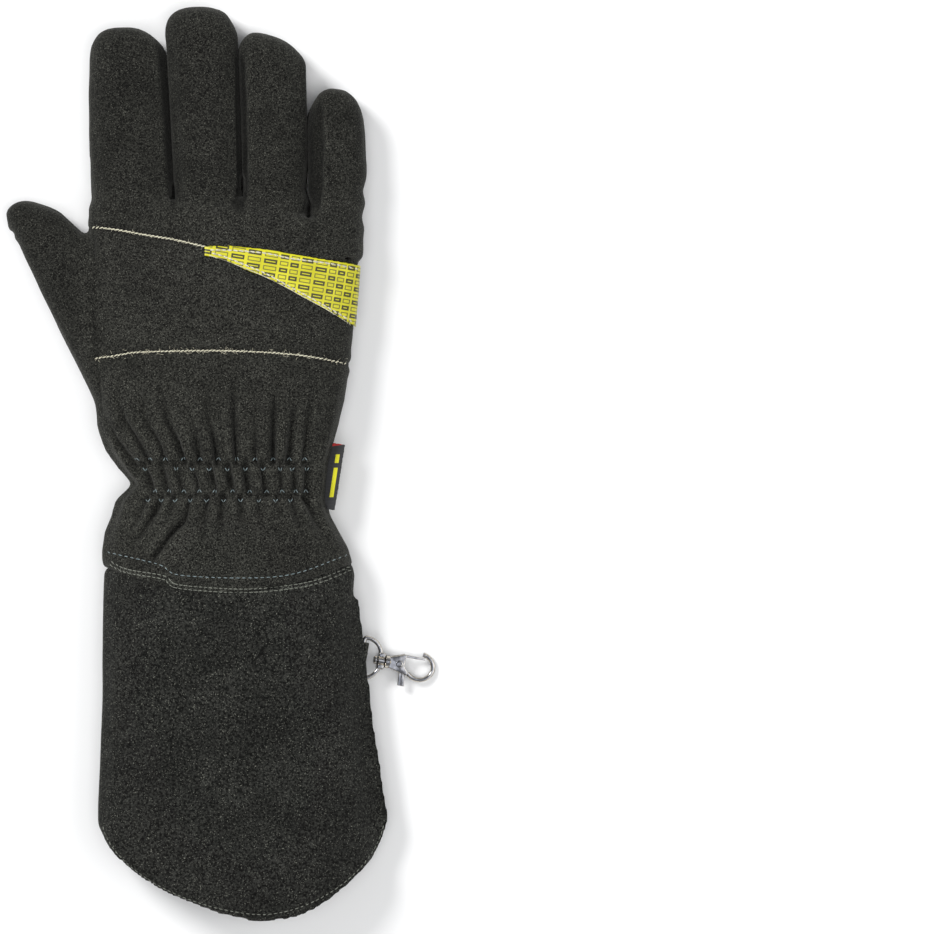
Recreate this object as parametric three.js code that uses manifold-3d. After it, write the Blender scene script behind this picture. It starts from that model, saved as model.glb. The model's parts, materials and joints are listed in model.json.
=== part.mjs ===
// A firefighter's right glove in black split leather, lying palm down with its fingers towards +Y.
// The hand is a hollow shell sewn from panels, its wrist is gathered by elastic, and a long cuff
// with a closing strap on its palm side is sewn into the wrist hem. A swivel clasp on a D-ring
// hangs from a leather loop at the little finger's side.
// Millimetres, +Z up. The origin is on the surface that the glove lies on, under the heel of the palm.

import * as THREE from "three";
import Module from "manifold-3d";

const wasm = await Module();
wasm.setup();

// Leather, clearances and heights above the surface that the glove lies on.
const HAND_WALL = 2.6;
const CUFF_WALL = 2.2;
const PATCH_THICKNESS = 1.4;
const STRAP_THICKNESS = 2.2;
const SEAM_GAP = 0.3;
const SEAM_HEIGHT = 13;
const CUFF_LIFT = 2 * SEAM_GAP + PATCH_THICKNESS + STRAP_THICKNESS;
const FLATTENED = 1.4;

// Hand: lengths from the hem of the wrist to the knuckles, and the three widths and heights.
const HEEL_TO_HEM = 82;
const HAND_LENGTH = 188;
const WRIST_WIDTH = 96;
const HEM_WIDTH = 119;
const HEM_SAG = 13;
const PALM_RISE = 34;
const WRIST_RISE = 32;
const HEM_RISE = 35;
const PALM_HOLLOW = 5.5;
const GATHER_DEPTH = 1.6;
const GATHERS = 22;

// Fingers, from the index to the little finger. Lengths run from the knuckle line to the tip. length
// and crotch, the height of the gap before the finger, are shares of FINGER_LENGTH, and the two
// widths are shares of FINGER_WIDTH.
const FINGER_ROOT = 78;
const FINGERS_LEFT = -65.6;
const FINGER_LENGTH = 120;
const FINGER_WIDTH = 35;
const FINGER_GAP = 0.7;
const FINGER_RISE = 26;
const FINGER_ROOT_RISE = 30;
const FINGER_CAP = 13;
const FINGERS = [
  { length: 0.917, root: 1.091, tip: 0.966, crotch: 0 },
  { length: 1, root: 1.04, tip: 1.043, crotch: 0.22 },
  { length: 0.9, root: 0.857, tip: 0.923, crotch: 0.254 },
  { length: 0.671, root: 0.76, tip: 0.791, crotch: 0.14 },
];

// Thumb: a cone that leaves the palm at its heel.
const THUMB_LENGTH = 124;
const THUMB_TURN = 34.3;
const THUMB_BASE_X = -28;
const THUMB_BASE_Y = 4;
const THUMB_BASE_WIDTH = 59;
const THUMB_TIP_WIDTH = 24;
const THUMB_BASE_RISE = 27;
const THUMB_TIP_RISE = 22;
const THUMB_CAP = 13;

// Cuff: its flare on the two sides, its rounded end, and the fold beside the little finger's seam.
const CUFF_OVERLAP = 13;
const CUFF_LENGTH = 169;
const CUFF_WIDTH = 118;
const CUFF_FLARE_THUMB = 3.2;
const CUFF_FLARE_LITTLE = 20.5;
const CUFF_RISE = 36;
const CUFF_TONGUE = 47;
const CUFF_FLANGE = 8.6;
const CUFF_FLANGE_THICKNESS = 2;
const CUFF_FOLD = 6;
const CUFF_FOLD_WIDTH = 11;
const CUFF_FOLD_INWARD = 21;

// Reflective insert on the back of the hand, and the woven label in the wrist's side seam.
const INSERT_THICKNESS = 0.8;
const INSERT_LENGTH = 74;
const INSERT_HEIGHT = 35;
const INSERT_TIP_HEIGHT = 5;
const INSERT_BOW = 1.25;
const KNUCKLE_SEAM_DROP = 10;
const KNUCKLE_SEAM_Y = 93;
const LABEL_WIDTH = 12;
const LABEL_LENGTH = 32;
const LABEL_THICKNESS = 0.8;
const LABEL_Y = -26;
const LABEL_SHOWN = 6.5;
const LABEL_LIFT = 3;
const LABEL_TILT = -12;
const LABEL_TURN = -9;

// Closing strap and patches on the cuff's palm side.
const HALF_ROUND_X = -5;
const HALF_ROUND_WIDTH = 95;
const HALF_ROUND_HEIGHT = 57;
const STRAP_LENGTH = 121;
const STRAP_WIDTH = 29;
const STRAP_POINT = 12;
const STRAP_TURN = -6.8;
const STRAP_Y = -164.6;
const STRAP_END_X = 66;
const LOOP_PATCH_LENGTH = 52;
const LOOP_PATCH_X = -59.5;
const LOOP_PATCH_SLANT = 4;
const PATCH_MARGIN = 3;
const PULL_TAB_WIDTH = 26;
const PULL_TAB_LENGTH = 13;
const PULL_TAB_X = -24;
const PULL_TAB_SHOULDER = 0.2;

// D-ring, swivel clasp and the leather loop that holds them.
const RING_Y = -113.3;
const RING_TURN = -10;
const RING_WIRE = 1.0;
const RING_HEIGHT = 20;
const RING_DEPTH = 9.8;
const RING_POWER = 2.3;
const RING_LOOP_WIDTH = 15;
const RING_LOOP_LEATHER = 1.4;
const BOSS_LENGTH = 3.2;
const BOSS_WIDTH = 8;
const BOSS_THICKNESS = 4.6;
const POST_RADIUS = 1.1;
const POST_HEAD_RADIUS = 2;
const POST_HEAD_LENGTH = 1.6;
const COLLAR_RADIUS = 3.1;
const COLLAR_LENGTH = 2.4;
const CLASP_LENGTH = 8.4;
const CLASP_THICKNESS = 4.8;
const CLASP_WIDTH = 10.4;
const HOOK_WIRE = 1.1;
const HOOK_LENGTH = 15.6;
const HOOK_WIDTH = 14.6;
const HOOK_NOSE = 82;
const LEVER_THICKNESS = 1.8;
const LEVER_TRAVEL = 24;
const LEVER_TAB_WIDTH = 3.2;
const LEVER_TAB_REACH = 10.4;
const RIVET_RADIUS = 0.9;
const RIVET_HEAD_RADIUS = 1.8;
const RIVET_HEAD_THICKNESS = 0.6;
const RUNNING_GAP = 0.3;

const rad = THREE.MathUtils.degToRad;
const mix = THREE.MathUtils.lerp;
const DEEP = 400;

// Solids: a three.js geometry becomes a solid for cutting and joining, and comes back as a mesh.
function solidFromPoints(points, triangles) {
  return new wasm.Manifold(
    new wasm.Mesh({
      numProp: 3,
      vertProperties: new Float32Array(points.flatMap((p) => [p.x, p.y, p.z])),
      triVerts: new Uint32Array(triangles),
    })
  );
}

function solidFromGeometry(geometry) {
  const flat = geometry.index ? geometry.toNonIndexed() : geometry;
  const positions = flat.getAttribute("position");
  const seen = new Map();
  const points = [];
  const triangles = [];
  for (let i = 0; i < positions.count; i++) {
    const p = new THREE.Vector3().fromBufferAttribute(positions, i);
    const key = p.toArray().map((v) => Math.round(v * 1e4)).join();
    if (!seen.has(key)) {
      seen.set(key, points.length);
      points.push(p);
    }
    triangles.push(seen.get(key));
  }
  const kept = [];
  for (let i = 0; i < triangles.length; i += 3) {
    const [a, b, c] = triangles.slice(i, i + 3);
    if (a !== b && b !== c && a !== c) kept.push(a, b, c);
  }
  return solidFromPoints(points, kept);
}

function geometryFromSolid(solid) {
  const made = solid.getMesh();
  const positions = new Float32Array(made.numVert * 3);
  for (let i = 0; i < made.numVert; i++) {
    const start = i * made.numProp;
    positions.set(made.vertProperties.subarray(start, start + 3), i * 3);
  }
  const geometry = new THREE.BufferGeometry();
  geometry.setAttribute("position", new THREE.BufferAttribute(positions, 3));
  geometry.setIndex(new THREE.BufferAttribute(new Uint32Array(made.triVerts), 1));
  geometry.computeVertexNormals();
  return geometry;
}

function joined(solids) {
  return solids.reduce((whole, solid) => whole.add(solid));
}

// A solid over an outline in the XY plane, from one height to another.
function prism(outline, low = -DEEP, high = DEEP) {
  const shape = new THREE.Shape(outline.map(([x, y]) => new THREE.Vector2(x, y)));
  const geometry = new THREE.ExtrudeGeometry(shape, { depth: high - low, bevelEnabled: false });
  return solidFromGeometry(geometry.translate(0, 0, low));
}

function block(x0, x1, y0, y1, z0 = -DEEP, z1 = DEEP) {
  const geometry = new THREE.BoxGeometry(x1 - x0, y1 - y0, z1 - z0);
  geometry.translate((x0 + x1) / 2, (y0 + y1) / 2, (z0 + z1) / 2);
  return solidFromGeometry(geometry);
}

// A round bar along X, as the clasp's post and collar are turned.
function barAlongX(radius, x0, x1, sides = 12) {
  const geometry = new THREE.CylinderGeometry(radius, radius, x1 - x0, sides);
  geometry.rotateZ(Math.PI / 2).translate((x0 + x1) / 2, 0, 0);
  return solidFromGeometry(geometry);
}

function barAlongZ(radius, x, y, z0, z1, sides = 12) {
  const geometry = new THREE.CylinderGeometry(radius, radius, z1 - z0, sides);
  geometry.rotateX(Math.PI / 2).translate(x, y, (z0 + z1) / 2);
  return solidFromGeometry(geometry);
}

// Joins rings with equal point counts into one closed skin, with a flat cap or a loop at its ends.
function skin(rings, looped = false) {
  const count = rings[0].length;
  const points = rings.flat();
  const triangles = [];
  const bands = looped ? rings.length : rings.length - 1;
  for (let r = 0; r < bands; r++) {
    const next = (r + 1) % rings.length;
    for (let i = 0; i < count; i++) {
      const j = (i + 1) % count;
      const [a, b] = [r * count + i, r * count + j];
      const [c, d] = [next * count + i, next * count + j];
      triangles.push(a, c, b, b, c, d);
    }
  }
  if (!looped) {
    const last = (rings.length - 1) * count;
    const middle = (ring) => ring.reduce((sum, p) => sum.add(p), new THREE.Vector3());
    points.push(middle(rings[0]).divideScalar(count));
    points.push(middle(rings[rings.length - 1]).divideScalar(count));
    for (let i = 0; i < count; i++) {
      const j = (i + 1) % count;
      triangles.push(points.length - 2, i, j);
      triangles.push(points.length - 1, last + j, last + i);
    }
  }
  const solid = solidFromPoints(points, triangles);
  if (solid.volume() > 0) return solid;
  for (let i = 0; i < triangles.length; i += 3) {
    [triangles[i + 1], triangles[i + 2]] = [triangles[i + 2], triangles[i + 1]];
  }
  return solidFromPoints(points, triangles);
}

// A round wire swept along points in the XY plane.
function wire(path, radius, looped, sides = 6) {
  const rings = path.map((p, i) => {
    const before = path[looped ? (i + path.length - 1) % path.length : Math.max(i - 1, 0)];
    const after = path[looped ? (i + 1) % path.length : Math.min(i + 1, path.length - 1)];
    const along = new THREE.Vector2().subVectors(after, before).normalize();
    return Array.from({ length: sides }, (_, k) => {
      const a = (2 * Math.PI * k) / sides;
      const out = radius * Math.cos(a);
      return new THREE.Vector3(p.x + along.y * out, p.y - along.x * out, radius * Math.sin(a));
    });
  });
  return skin(rings, looped);
}

// Soft sections: a squarish oval whose widest line is the side seam, flat where it lies on a surface.
function powered(value, power) {
  return Math.sign(value) * Math.abs(value) ** (2 / power);
}

function ovalPoint(section, inset, angle) {
  const { left, right, bottom, top, power } = section;
  const across = powered(Math.cos(angle), power);
  const up = powered(Math.sin(angle), power);
  const seam = section.seam ?? SEAM_HEIGHT;
  const half = (right - left) / 2 - inset;
  const rise = up > 0 ? top - seam - inset : seam - bottom - inset + FLATTENED;
  return { x: (left + right) / 2 + half * across, z: seam + rise * up };
}

// Angles that space the points evenly round a section, shared by all the insets of that section.
function evenAngles(section, count) {
  const fine = 720;
  const lengths = [0];
  let before = ovalPoint(section, 0, 0);
  for (let i = 1; i <= fine; i++) {
    const here = ovalPoint(section, 0, (2 * Math.PI * i) / fine);
    lengths.push(lengths[i - 1] + Math.hypot(here.x - before.x, here.z - before.z));
    before = here;
  }
  const angles = [];
  let at = 0;
  for (let i = 0; i < count; i++) {
    const wanted = (lengths[fine] * i) / count;
    while (lengths[at + 1] < wanted) at++;
    const share = (wanted - lengths[at]) / (lengths[at + 1] - lengths[at]);
    angles.push((2 * Math.PI * (at + share)) / fine);
  }
  return angles;
}

function sectionRing(section, y, inset, count, shaped = (p) => p) {
  return evenAngles(section, count).map((angle, i) => {
    const p = shaped(ovalPoint(section, inset, angle), angle, i);
    return new THREE.Vector3(p.x, y, Math.max(p.z, section.bottom + inset));
  });
}

const CAP_POWER = 2.8;

// The share that a rounded end keeps of its width, at a distance before its tip.
function capShare(distance, cap) {
  const back = 1 - Math.min(distance / cap, 1);
  return (1 - back ** CAP_POWER) ** (1 / CAP_POWER);
}

// Hand body: one row for each section, from the hem to the knuckles. along is a share of
// HAND_LENGTH, left and right are shares of half the named width, rise of the named height,
// lift of the hem's height above the surface, hollow of PALM_HOLLOW, and gather of GATHER_DEPTH.
const ROOT_WIDTHS = FINGERS.reduce((sum, finger) => sum + finger.root * FINGER_WIDTH, 0);
const PALM_WIDTH = ROOT_WIDTHS + FINGER_GAP * (FINGERS.length - 1);
const HEM_LIFT = CUFF_LIFT - SEAM_GAP - HAND_WALL;
const SIZES = {
  hem: { half: HEM_WIDTH / 2, rise: HEM_RISE },
  wrist: { half: WRIST_WIDTH / 2, rise: WRIST_RISE },
  palm: { half: PALM_WIDTH / 2, rise: PALM_RISE },
};
const HAND_ROWS = [
  { along: -0.036, size: "hem", left: 0.98, right: 1.07, rise: 1, lift: 1, hollow: 0, gather: 0 },
  { along: 0.05, size: "hem", left: 0.985, right: 1.052, rise: 1, lift: 1, hollow: 0, gather: 0.05 },
  { along: 0.112, size: "hem", left: 0.99, right: 1, rise: 1, lift: 0.8, hollow: 0, gather: 0.2 },
  { along: 0.159, size: "hem", left: 0.96, right: 0.915, rise: 0.98, lift: 0.6, hollow: 0, gather: 0.5 },
  { along: 0.194, size: "wrist", left: 1.12, right: 1.05, rise: 1.03, lift: 0.4, hollow: 0, gather: 0.8 },
  { along: 0.236, size: "wrist", left: 1.08, right: 1, rise: 1, lift: 0.3, hollow: 0, gather: 1 },
  { along: 0.277, size: "wrist", left: 0.91, right: 1.01, rise: 1, lift: 0.2, hollow: 0, gather: 1 },
  { along: 0.317, size: "wrist", left: 1.06, right: 1.03, rise: 1, lift: 0.1, hollow: 0, gather: 1 },
  { along: 0.359, size: "wrist", left: 1.18, right: 1.06, rise: 1.05, lift: 0, hollow: 0, gather: 0.8 },
  { along: 0.415, size: "palm", left: 0.91, right: 0.81, rise: 1.03, lift: 0, hollow: 0, gather: 0.5 },
  { along: 0.482, size: "palm", left: 0.93, right: 0.86, rise: 1.04, lift: 0, hollow: 0, gather: 0.25 },
  { along: 0.564, size: "palm", left: 0.945, right: 0.9, rise: 1.02, lift: 0, hollow: 0.5, gather: 0.1 },
  { along: 0.687, size: "palm", left: 0.967, right: 0.93, rise: 1, lift: 0, hollow: 1, gather: 0 },
  { along: 0.81, size: "palm", left: 0.984, right: 0.96, rise: 0.97, lift: 0, hollow: 1, gather: 0 },
  { along: 0.943, size: "palm", left: 0.984, right: 1, rise: 0.9, lift: 0, hollow: 0.7, gather: 0 },
  { along: 0.967, size: "palm", left: 0.97, right: 0.55, rise: 0.87, lift: 0, hollow: 0.7, gather: 0 },
  { along: 1.005, size: "palm", left: 0.82, right: 0.38, rise: 0.7, lift: 0, hollow: 1, gather: 0 },
];
const HAND_POWER = 2.6;

function handY(along) {
  return along * HAND_LENGTH - HEEL_TO_HEM;
}

function handSection(row) {
  const { half, rise } = SIZES[row.size];
  return {
    left: -half * row.left,
    right: half * row.right,
    top: rise * row.rise,
    bottom: Math.max(HEM_LIFT * row.lift, 0) + PALM_HOLLOW * row.hollow,
    power: HAND_POWER,
  };
}

// The hand's section at any distance along Y, between the two nearest rows.
function handSectionAt(y) {
  const after = HAND_ROWS.findIndex((row) => handY(row.along) > y);
  const [a, b] = [HAND_ROWS[after - 1], HAND_ROWS[after]];
  const share = (y - handY(a.along)) / (handY(b.along) - handY(a.along));
  const [from, to] = [handSection(a), handSection(b)];
  return Object.fromEntries(Object.keys(from).map((key) => [key, mix(from[key], to[key], share)]));
}

function handBody(inset, count, gathered) {
  const rings = HAND_ROWS.map((row, r) => {
    const reach = r === HAND_ROWS.length - 1 ? inset : 0;
    const pleat = (p, angle, i) => {
      const out = (i % 2 ? -1 : 1) * GATHER_DEPTH * row.gather;
      return { x: p.x + out * Math.cos(angle), z: p.z + out * Math.sin(angle) };
    };
    const y = handY(row.along) - Math.max(reach, 0) - (r === 0 ? Math.max(inset, 0) : 0);
    return sectionRing(handSection(row), y, inset, count, gathered ? pleat : undefined);
  });
  return skin(rings);
}

// Fingers lie side by side: each starts a gap away from the one before it, at root and at tip.
function placedFingers() {
  let [root, tip] = [FINGERS_LEFT, FINGERS_LEFT];
  return FINGERS.map((finger) => {
    const length = finger.length * FINGER_LENGTH;
    const placed = {
      length,
      crotch: FINGER_ROOT + finger.crotch * FINGER_LENGTH,
      rootLeft: root,
      rootRight: root + finger.root * FINGER_WIDTH,
      tipLeft: tip,
      tipRight: tip + finger.tip * FINGER_WIDTH,
      end: FINGER_ROOT + length,
    };
    root = placed.rootRight + FINGER_GAP;
    tip = placed.tipRight + FINGER_GAP;
    return placed;
  });
}
const PLACED = placedFingers();
const FINGER_POWER = 2.3;
// step is a share of the straight length, top of the difference between the two heights, and lift of
// PALM_HOLLOW.
const FINGER_ROWS = [
  { step: 0, top: 1, lift: 0.85 },
  { step: 0.22, top: 0.3, lift: 0.1 },
  { step: 0.6, top: 0, lift: 0 },
];
const CAP_STEPS = [1, 0.5, 0.18, 0.02];

function fingerForm(finger, inset, count) {
  const end = finger.end - inset;
  const straight = end - FINGER_CAP - FINGER_ROOT;
  const rows = FINGER_ROWS.map((row) => ({ ...row, y: FINGER_ROOT + straight * row.step }));
  rows.push(...CAP_STEPS.map((step) => ({ top: 0, lift: 0, y: end - FINGER_CAP * step })));
  const rings = rows.map(({ y, top, lift }) => {
    const share = (y - FINGER_ROOT) / finger.length;
    const left = mix(finger.rootLeft, finger.tipLeft, share);
    const right = mix(finger.rootRight, finger.tipRight, share);
    const kept = capShare(end - y, FINGER_CAP);
    const half = ((right - left) / 2 - inset) * kept;
    const middle = (left + right) / 2;
    const rise = mix(FINGER_RISE, FINGER_ROOT_RISE, top);
    const low = SEAM_HEIGHT - (SEAM_HEIGHT - PALM_HOLLOW * lift - inset) * kept;
    const high = SEAM_HEIGHT + (rise - SEAM_HEIGHT - inset) * kept;
    const section = { left: middle - half, right: middle + half, bottom: low, top: high, power: FINGER_POWER };
    return sectionRing(section, y, 0, count);
  });
  return skin(rings);
}

// The thumb's rings stand square to its own axis, which turns outwards from the hand's.
const THUMB_STEPS = [0, 0.5];
function thumbForm(inset, count) {
  const end = THUMB_LENGTH - inset;
  const rows = THUMB_STEPS.map((step) => (end - THUMB_CAP) * step);
  rows.push(...CAP_STEPS.map((step) => end - THUMB_CAP * step));
  const turn = rad(THUMB_TURN);
  const rings = rows.map((s) => {
    const share = s / THUMB_LENGTH;
    const kept = capShare(end - s, THUMB_CAP);
    const half = (mix(THUMB_BASE_WIDTH, THUMB_TIP_WIDTH, share) / 2 - inset) * kept;
    const rise = mix(THUMB_BASE_RISE, THUMB_TIP_RISE, share);
    const seam = rise / 2;
    const low = seam - (seam - inset) * kept;
    const high = seam + (seam - inset) * kept;
    const section = { left: -half, right: half, bottom: low, top: high, seam, power: FINGER_POWER };
    return sectionRing(section, s, 0, count).map(
      (p) =>
        new THREE.Vector3(
          THUMB_BASE_X - s * Math.sin(turn) + p.x * Math.cos(turn),
          THUMB_BASE_Y + s * Math.cos(turn) + p.x * Math.sin(turn),
          p.z
        )
    );
  });
  return skin(rings);
}

// Hand shell: outer forms less inner forms, open at the hem, whose edge hangs lower in the middle.
const HEM_SIDE_Y = HEM_SAG - HEEL_TO_HEM;
const BODY_SIDES = 2 * GATHERS;
const FINGER_SIDES = 14;
const INNER_SIDES = 22;
const INNER_FINGER_SIDES = 10;

function hemCurve(shift) {
  const steps = 12;
  const curve = Array.from({ length: steps + 1 }, (_, i) => {
    const across = mix(-1, 1, i / steps);
    return [(across * HEM_WIDTH) / 2, HEM_SIDE_Y - HEM_SAG * (1 - across ** 2) - shift];
  });
  return [[-HEM_WIDTH, HEM_SIDE_Y - shift], ...curve, [HEM_WIDTH, HEM_SIDE_Y - shift]];
}

const aboveHem = () => prism([...hemCurve(0), [HEM_WIDTH, DEEP], [-HEM_WIDTH, DEEP]]);
const belowHem = (shift) => prism([...hemCurve(shift), [HEM_WIDTH, -DEEP], [-HEM_WIDTH, -DEEP]]);

function handForm(inset, bodySides, fingerSides, gathered) {
  const fingers = PLACED.map((finger) => fingerForm(finger, inset, fingerSides));
  return joined([handBody(inset, bodySides, gathered), ...fingers]);
}

const handOuter = handForm(0, BODY_SIDES, FINGER_SIDES, true);
const hollow = handForm(HAND_WALL, INNER_SIDES, INNER_FINGER_SIDES, false).add(
  thumbForm(HAND_WALL, INNER_FINGER_SIDES)
);
const handShell = handOuter
  .add(thumbForm(0, FINGER_SIDES))
  .subtract(hollow)
  .intersect(aboveHem());

// Sidewalls between two fingers: strips of the shell between its back and palm, joined at the crotch.
const SIDEWALL_LOW = 8;
const SIDEWALL_HIGH = 22;
const SIDEWALL_REACH = 8;
const SIDEWALL_SHORT = 13;
const SIDEWALL_BRIDGE = 5 * HAND_WALL;

function sidewallCutter(index, grow) {
  const [before, after] = [PLACED[index], PLACED[index + 1]];
  const crotch = after.crotch - 2 * HAND_WALL;
  const [low, high] = [SIDEWALL_LOW - grow, SIDEWALL_HIGH + grow];
  const edgeAt = (finger, side, y) => {
    const share = (y - FINGER_ROOT) / finger.length;
    return mix(finger["root" + side], finger["tip" + side], share);
  };
  const leg = (finger, side, inward) => {
    const top = finger.end - SIDEWALL_SHORT + grow;
    const [a, b] = [edgeAt(finger, side, crotch), edgeAt(finger, side, top)];
    const reach = inward * (SIDEWALL_REACH + grow);
    const outer = (-inward * FINGER_GAP) / 2;
    const corners = [
      [a + outer, crotch - grow],
      [b + outer / 2, top],
      [b + reach, top],
      [a + reach, crotch - grow],
    ];
    return prism(inward > 0 ? corners : corners.reverse(), low, high);
  };
  const [a, b] = [edgeAt(before, "Right", crotch), edgeAt(after, "Left", crotch)];
  const bridge = block(
    a - SIDEWALL_REACH - grow,
    b + SIDEWALL_REACH + grow,
    crotch - grow,
    crotch + SIDEWALL_BRIDGE,
    low,
    high
  );
  return joined([leg(before, "Right", -1), leg(after, "Left", 1), bridge]);
}

const sidewalls = [0, 1, 2].map((i) => largest(handShell.intersect(sidewallCutter(i, 0))));
const sidewallSpace = joined([0, 1, 2].map((i) => sidewallCutter(i, SEAM_GAP)));

// The one body that counts where a cut leaves crumbs behind.
function largest(solid) {
  return solid.decompose().reduce((best, piece) => (piece.volume() > best.volume() ? piece : best));
}

// Back panels and palm panel meet at the side seam, and the thumb panel takes the palm's thumb side.
const backSpace = block(-DEEP, DEEP, -DEEP, DEEP, SEAM_HEIGHT + SEAM_GAP / 2, DEEP);
const palmSpace = block(-DEEP, DEEP, -DEEP, DEEP, -DEEP, SEAM_HEIGHT - SEAM_GAP / 2);

// Rows from the hem to the thumb's crotch: across is a share of half the palm's width, and along
// of HAND_LENGTH, as in the hand's rows.
const THUMB_SEAM = [
  { across: -0.03, along: -0.1 },
  { across: -0.03, along: 0.25 },
  { across: -0.055, along: 0.4 },
  { across: -0.11, along: 0.5 },
  { across: -0.27, along: 0.6 },
  { across: -0.56, along: 0.71 },
  { across: -0.88, along: 0.81 },
  { across: -1.25, along: 0.93 },
];

function thumbSpace(shift) {
  const seam = THUMB_SEAM.map(({ across, along }) => [
    (across * PALM_WIDTH) / 2 + shift,
    handY(along) + shift * Math.max(across + 1, 0),
  ]);
  const top = seam[seam.length - 1][1];
  return prism([...seam, [-DEEP, top], [-DEEP, seam[0][1]]]);
}

// The knuckle seam runs down across the back from the index finger's side to the little finger's.
// It drops by KNUCKLE_SEAM_DROP as far as its bend, and then again as the insert's upper edge.
const SEAM_BEND = 0.42;
const SEAM_BOW = 1.6;
const SEAM_SECOND_DROP = 1.7;
const SEAM_SECOND_BOW = 1.3;

function knuckleSeamY(x) {
  const across = Math.max((x + PALM_WIDTH / 2) / PALM_WIDTH, 0);
  const first = Math.min(across / SEAM_BEND, 1) ** SEAM_BOW;
  const second = SEAM_SECOND_DROP * Math.max(across - SEAM_BEND, 0) ** SEAM_SECOND_BOW;
  return KNUCKLE_SEAM_Y - KNUCKLE_SEAM_DROP * (first + second);
}

function aboveKnuckleSeam(shift) {
  const steps = 18;
  const reach = PALM_WIDTH / 2 + HAND_WALL;
  const seam = Array.from({ length: steps + 1 }, (_, i) => {
    const x = mix(-reach, reach, i / steps);
    return [x, knuckleSeamY(x) + shift];
  });
  return prism([...seam, [reach, DEEP], [-reach, DEEP]]);
}

const handOnly = handForm(-SEAM_GAP, BODY_SIDES, FINGER_SIDES, true);
const backShell = handShell.intersect(handOuter).intersect(backSpace).subtract(sidewallSpace);
const backFingersPanel = largest(backShell.intersect(aboveKnuckleSeam(SEAM_GAP)));
const backHandPanel = largest(backShell.subtract(aboveKnuckleSeam(0)));
const lowerShell = handShell.intersect(palmSpace).subtract(sidewallSpace);
const palmPanel = largest(lowerShell.intersect(handOuter).subtract(thumbSpace(SEAM_GAP)));
const thumbPanel = largest(lowerShell.intersect(thumbSpace(0)).add(handShell.subtract(handOnly)));

// Reflective insert: a wedge of thin tape that follows the back of the hand below the knuckle seam.
function insertOutline() {
  const right = PALM_WIDTH / 2;
  const left = right - INSERT_LENGTH;
  const steps = 12;
  const top = Array.from({ length: steps + 1 }, (_, i) => {
    const x = mix(right, left, i / steps);
    return [x, knuckleSeamY(x) - 2 * SEAM_GAP];
  });
  const bottom = Array.from({ length: steps + 1 }, (_, i) => {
    const share = i / steps;
    const x = mix(left, right, share);
    return [x, knuckleSeamY(left) - INSERT_TIP_HEIGHT - INSERT_HEIGHT * share ** INSERT_BOW];
  });
  return [...top, ...bottom];
}

const reflectiveInsert = largest(
  handBody(-SEAM_GAP - INSERT_THICKNESS, BODY_SIDES, true)
    .subtract(handOnly)
    .intersect(prism(insertOutline(), SEAM_HEIGHT + FLATTENED, DEEP))
);

// Cuff: rows from the hem's side to beyond the cuff's rounded end. along is a share of CUFF_LENGTH,
// flare of the two flares, rise of CUFF_RISE, flange and fold of theirs.
const CUFF_TOP_Y = HEM_SIDE_Y + CUFF_OVERLAP;
const CUFF_END_Y = HEM_SIDE_Y - CUFF_LENGTH;
const CUFF_ROWS = [
  { along: -0.02, flare: 0.08, rise: 0.97, flange: 0.1, fold: 0 },
  { along: 0.09, flare: 0.25, rise: 0.98, flange: 0.45, fold: 0.05 },
  { along: 0.27, flare: 0.46, rise: 1, flange: 0.7, fold: 0.25 },
  { along: 0.45, flare: 0.6, rise: 0.99, flange: 0.82, fold: 0.5 },
  { along: 0.63, flare: 0.83, rise: 0.97, flange: 0.95, fold: 0.8 },
  { along: 0.73, flare: 0.96, rise: 0.95, flange: 1, fold: 1 },
  { along: 1.04, flare: 1.05, rise: 0.9, flange: 1, fold: 1 },
];
const CUFF_POWER = 2.5;
const CUFF_SIDES = 28;

function cuffY(along) {
  return HEM_SIDE_Y - along * CUFF_LENGTH;
}

function cuffEdges(row) {
  return {
    left: -CUFF_WIDTH / 2 - CUFF_FLARE_THUMB * row.flare,
    right: CUFF_WIDTH / 2 + CUFF_FLARE_LITTLE * row.flare,
  };
}

// Inside the hem the cuff follows the hand's own sections, one wall and a gap further in.
const HIDDEN_INSET = HAND_WALL + SEAM_GAP;
const TUCK_END_Y = HEM_SIDE_Y - HEM_SAG - CUFF_WALL;

function tuckedForm(inset) {
  const rowYs = HAND_ROWS.map((row) => handY(row.along));
  const between = rowYs.filter((y) => y < CUFF_TOP_Y && y > TUCK_END_Y).reverse();
  const ys = [CUFF_TOP_Y + Math.max(inset, 0), ...between, TUCK_END_Y - Math.max(inset, 0)];
  return skin(ys.map((y) => sectionRing(handSectionAt(y), y, HIDDEN_INSET + inset, INNER_SIDES)));
}

function wideForm(inset) {
  const rings = CUFF_ROWS.map((row) => {
    const { left, right } = cuffEdges(row);
    const section = {
      left,
      right: right - CUFF_FLANGE * row.flange,
      top: CUFF_RISE * row.rise,
      bottom: CUFF_LIFT,
      power: CUFF_POWER,
    };
    const valley = section.right - CUFF_FOLD_INWARD;
    const folded = (p, angle) => {
      const near = Math.max(1 - Math.abs(p.x - valley) / CUFF_FOLD_WIDTH, 0);
      const dent = angle > Math.PI ? CUFF_FOLD * row.fold * near ** 1.4 : 0;
      return { x: p.x, z: Math.max(p.z, section.bottom + inset) + dent };
    };
    return sectionRing(section, cuffY(row.along), inset, CUFF_SIDES, folded);
  });
  return skin(rings);
}

function cuffForm(inset) {
  const lip = SEAM_GAP + Math.max(inset, 0);
  return wideForm(inset).intersect(belowHem(lip)).add(tuckedForm(inset));
}

// The cuff's rounded end, the same for back and palm: two quarter ovals that meet at the lowest point.
const TONGUE_POWER = 1.72;
const TONGUE_X = 19.2;
const CUFF_CORNER_Y = CUFF_END_Y + CUFF_TONGUE;

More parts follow.
